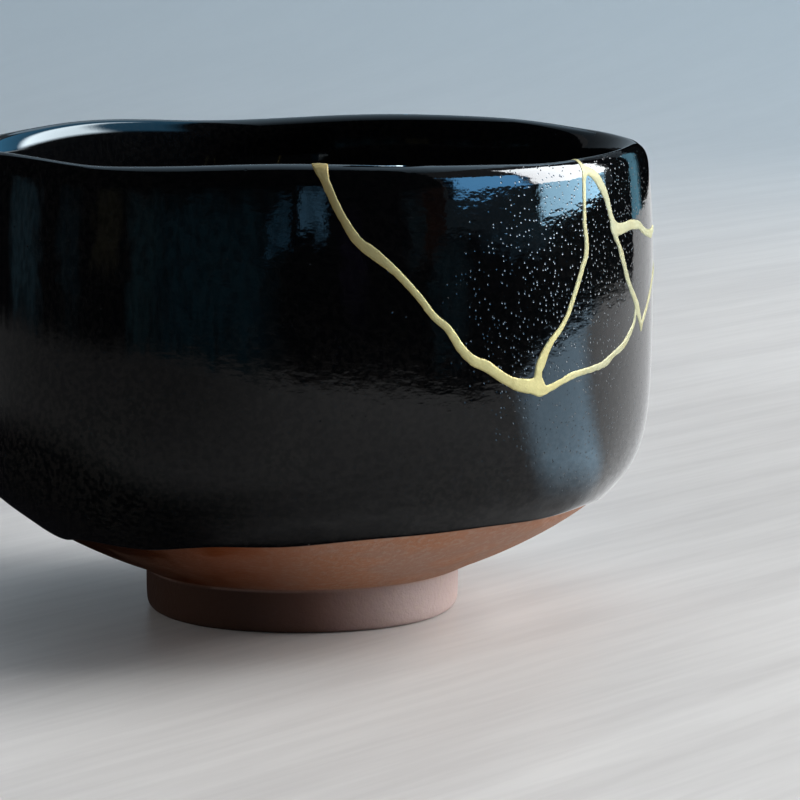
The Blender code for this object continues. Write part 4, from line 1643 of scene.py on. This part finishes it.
def colour(name, description, default):
    return FloatVectorProperty(
        name=name, description=description, default=default, size=3, subtype="COLOR", min=0.0, max=1.0
    )


class TeaBowlForm(bpy.types.PropertyGroup):
    """Sizes of the relief that the hands and the brush leave."""

    ripple: length("Hand Ripple", "Depth of the hollows that the hands left in the wall", 0.00006, min=0.0)
    seam_height: length("Gold Height", "How far the gold stands over the glaze", 0.00012, min=0.00002)


class TeaBowlFinish(bpy.types.PropertyGroup):
    """Colours and surfaces of the glaze, the clay and the gold."""

    glaze: colour("Glaze", "Colour of the black glaze", (0.0012, 0.0014, 0.0018))
    # The colour below is also the painted mottled reflection low on the wall.
    thin_glaze_and_sheen: colour("Thin Glaze", "Colour of the glaze where it lies thin", (0.0085, 0.0078, 0.0075))
    glaze_roughness: amount("Glaze Roughness", "How blurred reflections are", 0.04, min=0.0, max=1.0)
    glaze_grain: length("Glaze Grain", "Height of the finest lumps in the glaze", 0.0000125, min=0.0)
    pinhole_depth: length("Pinhole Depth", "Depth of the dimples in the glaze", 0.000052, min=0.0)
    clay: colour("Clay", "Colour of the bare clay of the underside", (0.36, 0.205, 0.145))
    flushed_clay: colour("Flushed Clay", "Colour of the clay that the fire turned orange", (0.4, 0.19, 0.11))
    # Painted shadow: the colour below darkens the clay just under the glaze's rolled edge.
    edge_shadow_clay: colour("Toasted Clay", "Colour of the line at the glaze's edge", (0.05, 0.028, 0.018))
    # Painted shade: the two colours below darken the left of the underside and of the foot.
    shaded_clay: colour("Smoked Clay", "Colour of the clay where smoke darkened it", (0.16, 0.036, 0.006))
    shaded_foot: colour("Smoked Foot", "Colour of the smoke-darkened foot", (0.19, 0.095, 0.065))
    foot_clay: colour("Foot Clay", "Colour of the clay of the foot", (0.4, 0.3, 0.275))
    sand: colour("Sand", "Colour of the sand grains in the clay", (0.42, 0.33, 0.27))
    gold: colour("Gold", "Colour of the gold powder", (0.53, 0.44, 0.17))
    # The colour below is both the thin powder in patches and the painted shade at the left end.
    worn_and_shaded_gold: colour("Worn Gold", "Colour of the gold where it lies thin", (0.27, 0.2, 0.062))
    # Painted highlight: the colour below is the washed-out gold at the right, where the window lights it.
    lit_gold: colour("Pale Gold", "Colour of the palest gold", (0.275, 0.26, 0.15))


class TeaBowlStage(bpy.types.PropertyGroup):
    """Colours and lights of the studio."""

    floor: colour("Floor", "Colour of the table top", (0.62, 0.587, 0.56))
    streak: colour("Streak", "Colour of the darker grain of the table top", (0.52, 0.487, 0.465))
    table_gloss: colour("Table In The Gloss", "Brightness of the table in the glaze", (0.58, 0.59, 0.6))
    glare: FloatVectorProperty(
        name="Glare",
        description="Brightness of the window on the table",
        default=(1.6, 2.3, 2.9),
        subtype="COLOR",
    )
    backdrop: colour("Backdrop", "Colour of the table's far end and the wall", (0.455, 0.545, 0.61))
    window: amount("Window", "Power of the large window light", 35.0, unit="POWER")
    fill: amount("Fill", "Brightness of the light from all round", 0.19, min=0.0)
    overhead: amount("Overhead", "Power of the light over the bowl", 4.0, unit="POWER")
    room: amount("Room", "Power of the low light on the left", 3.0, unit="POWER")


class TEABOWL_OT_body(bpy.types.Operator):
    """Build the bowl with its glaze, its bare foot and the hole that the sherds fill"""

    bl_idname = "tea_bowl.body"
    bl_label = "Bowl"

    def execute(self, context):
        materials = [finish_named("glaze_finish"), finish_named("clay_finish")]
        place_piece(bowl_body(materials), "bowl_body")
        return {"FINISHED"}


class TEABOWL_OT_sherds(bpy.types.Operator):
    """Build the three broken-out sherds in their places"""

    bl_idname = "tea_bowl.sherds"
    bl_label = "Sherds"

    def execute(self, context):
        for name in SHERD_LOOPS:
            place_piece(sherd(name, finish_named("glaze_finish")), name)
        return {"FINISHED"}


class TEABOWL_OT_gold(bpy.types.Operator):
    """Build the raised gold over the cracks"""

    bl_idname = "tea_bowl.gold"
    bl_label = "Gold Seams"

    def execute(self, context):
        place_piece(gold_seam(finish_named("gold_finish")), "gold_seam")
        return {"FINISHED"}


class TEABOWL_OT_stage(bpy.types.Operator):
    """Set up the table, the lights and the camera"""

    bl_idname = "tea_bowl.stage"
    bl_label = "Studio"

    def execute(self, context):
        build_stage()
        return {"FINISHED"}


STEPS = (TEABOWL_OT_body, TEABOWL_OT_sherds, TEABOWL_OT_gold, TEABOWL_OT_stage)


class TEABOWL_PT_sidebar(bpy.types.Panel):
    """The tea bowl's sizes, colours and building steps"""

    bl_idname = "TEABOWL_PT_sidebar"
    bl_label = "Kintsugi Tea Bowl"
    bl_space_type = "VIEW_3D"
    bl_region_type = "UI"
    bl_category = "Tea Bowl"

    def draw(self, context):
        scene = context.scene
        for settings in (scene.tea_bowl_form, scene.tea_bowl_finish, scene.tea_bowl_stage):
            column = self.layout.column(heading=settings.bl_rna.description)
            for name in settings.bl_rna.properties.keys():
                if name not in ("rna_type", "name"):
                    column.prop(settings, name)
        for step in STEPS:
            self.layout.operator(step.bl_idname)


SETTINGS = {"tea_bowl_form": TeaBowlForm, "tea_bowl_finish": TeaBowlFinish, "tea_bowl_stage": TeaBowlStage}


def register():
    for kind in (*SETTINGS.values(), *STEPS, TEABOWL_PT_sidebar):
        bpy.utils.register_class(kind)
    for name, kind in SETTINGS.items():
        setattr(bpy.types.Scene, name, PointerProperty(type=kind))


def unregister():
    for name in SETTINGS:
        delattr(bpy.types.Scene, name)
    for kind in reversed((*SETTINGS.values(), *STEPS, TEABOWL_PT_sidebar)):
        bpy.utils.unregister_class(kind)


def main():
    register()
    bpy.ops.tea_bowl.stage()
    bpy.ops.tea_bowl.body()
    bpy.ops.tea_bowl.sherds()
    bpy.ops.tea_bowl.gold()


if __name__ == "__main__":
    main()
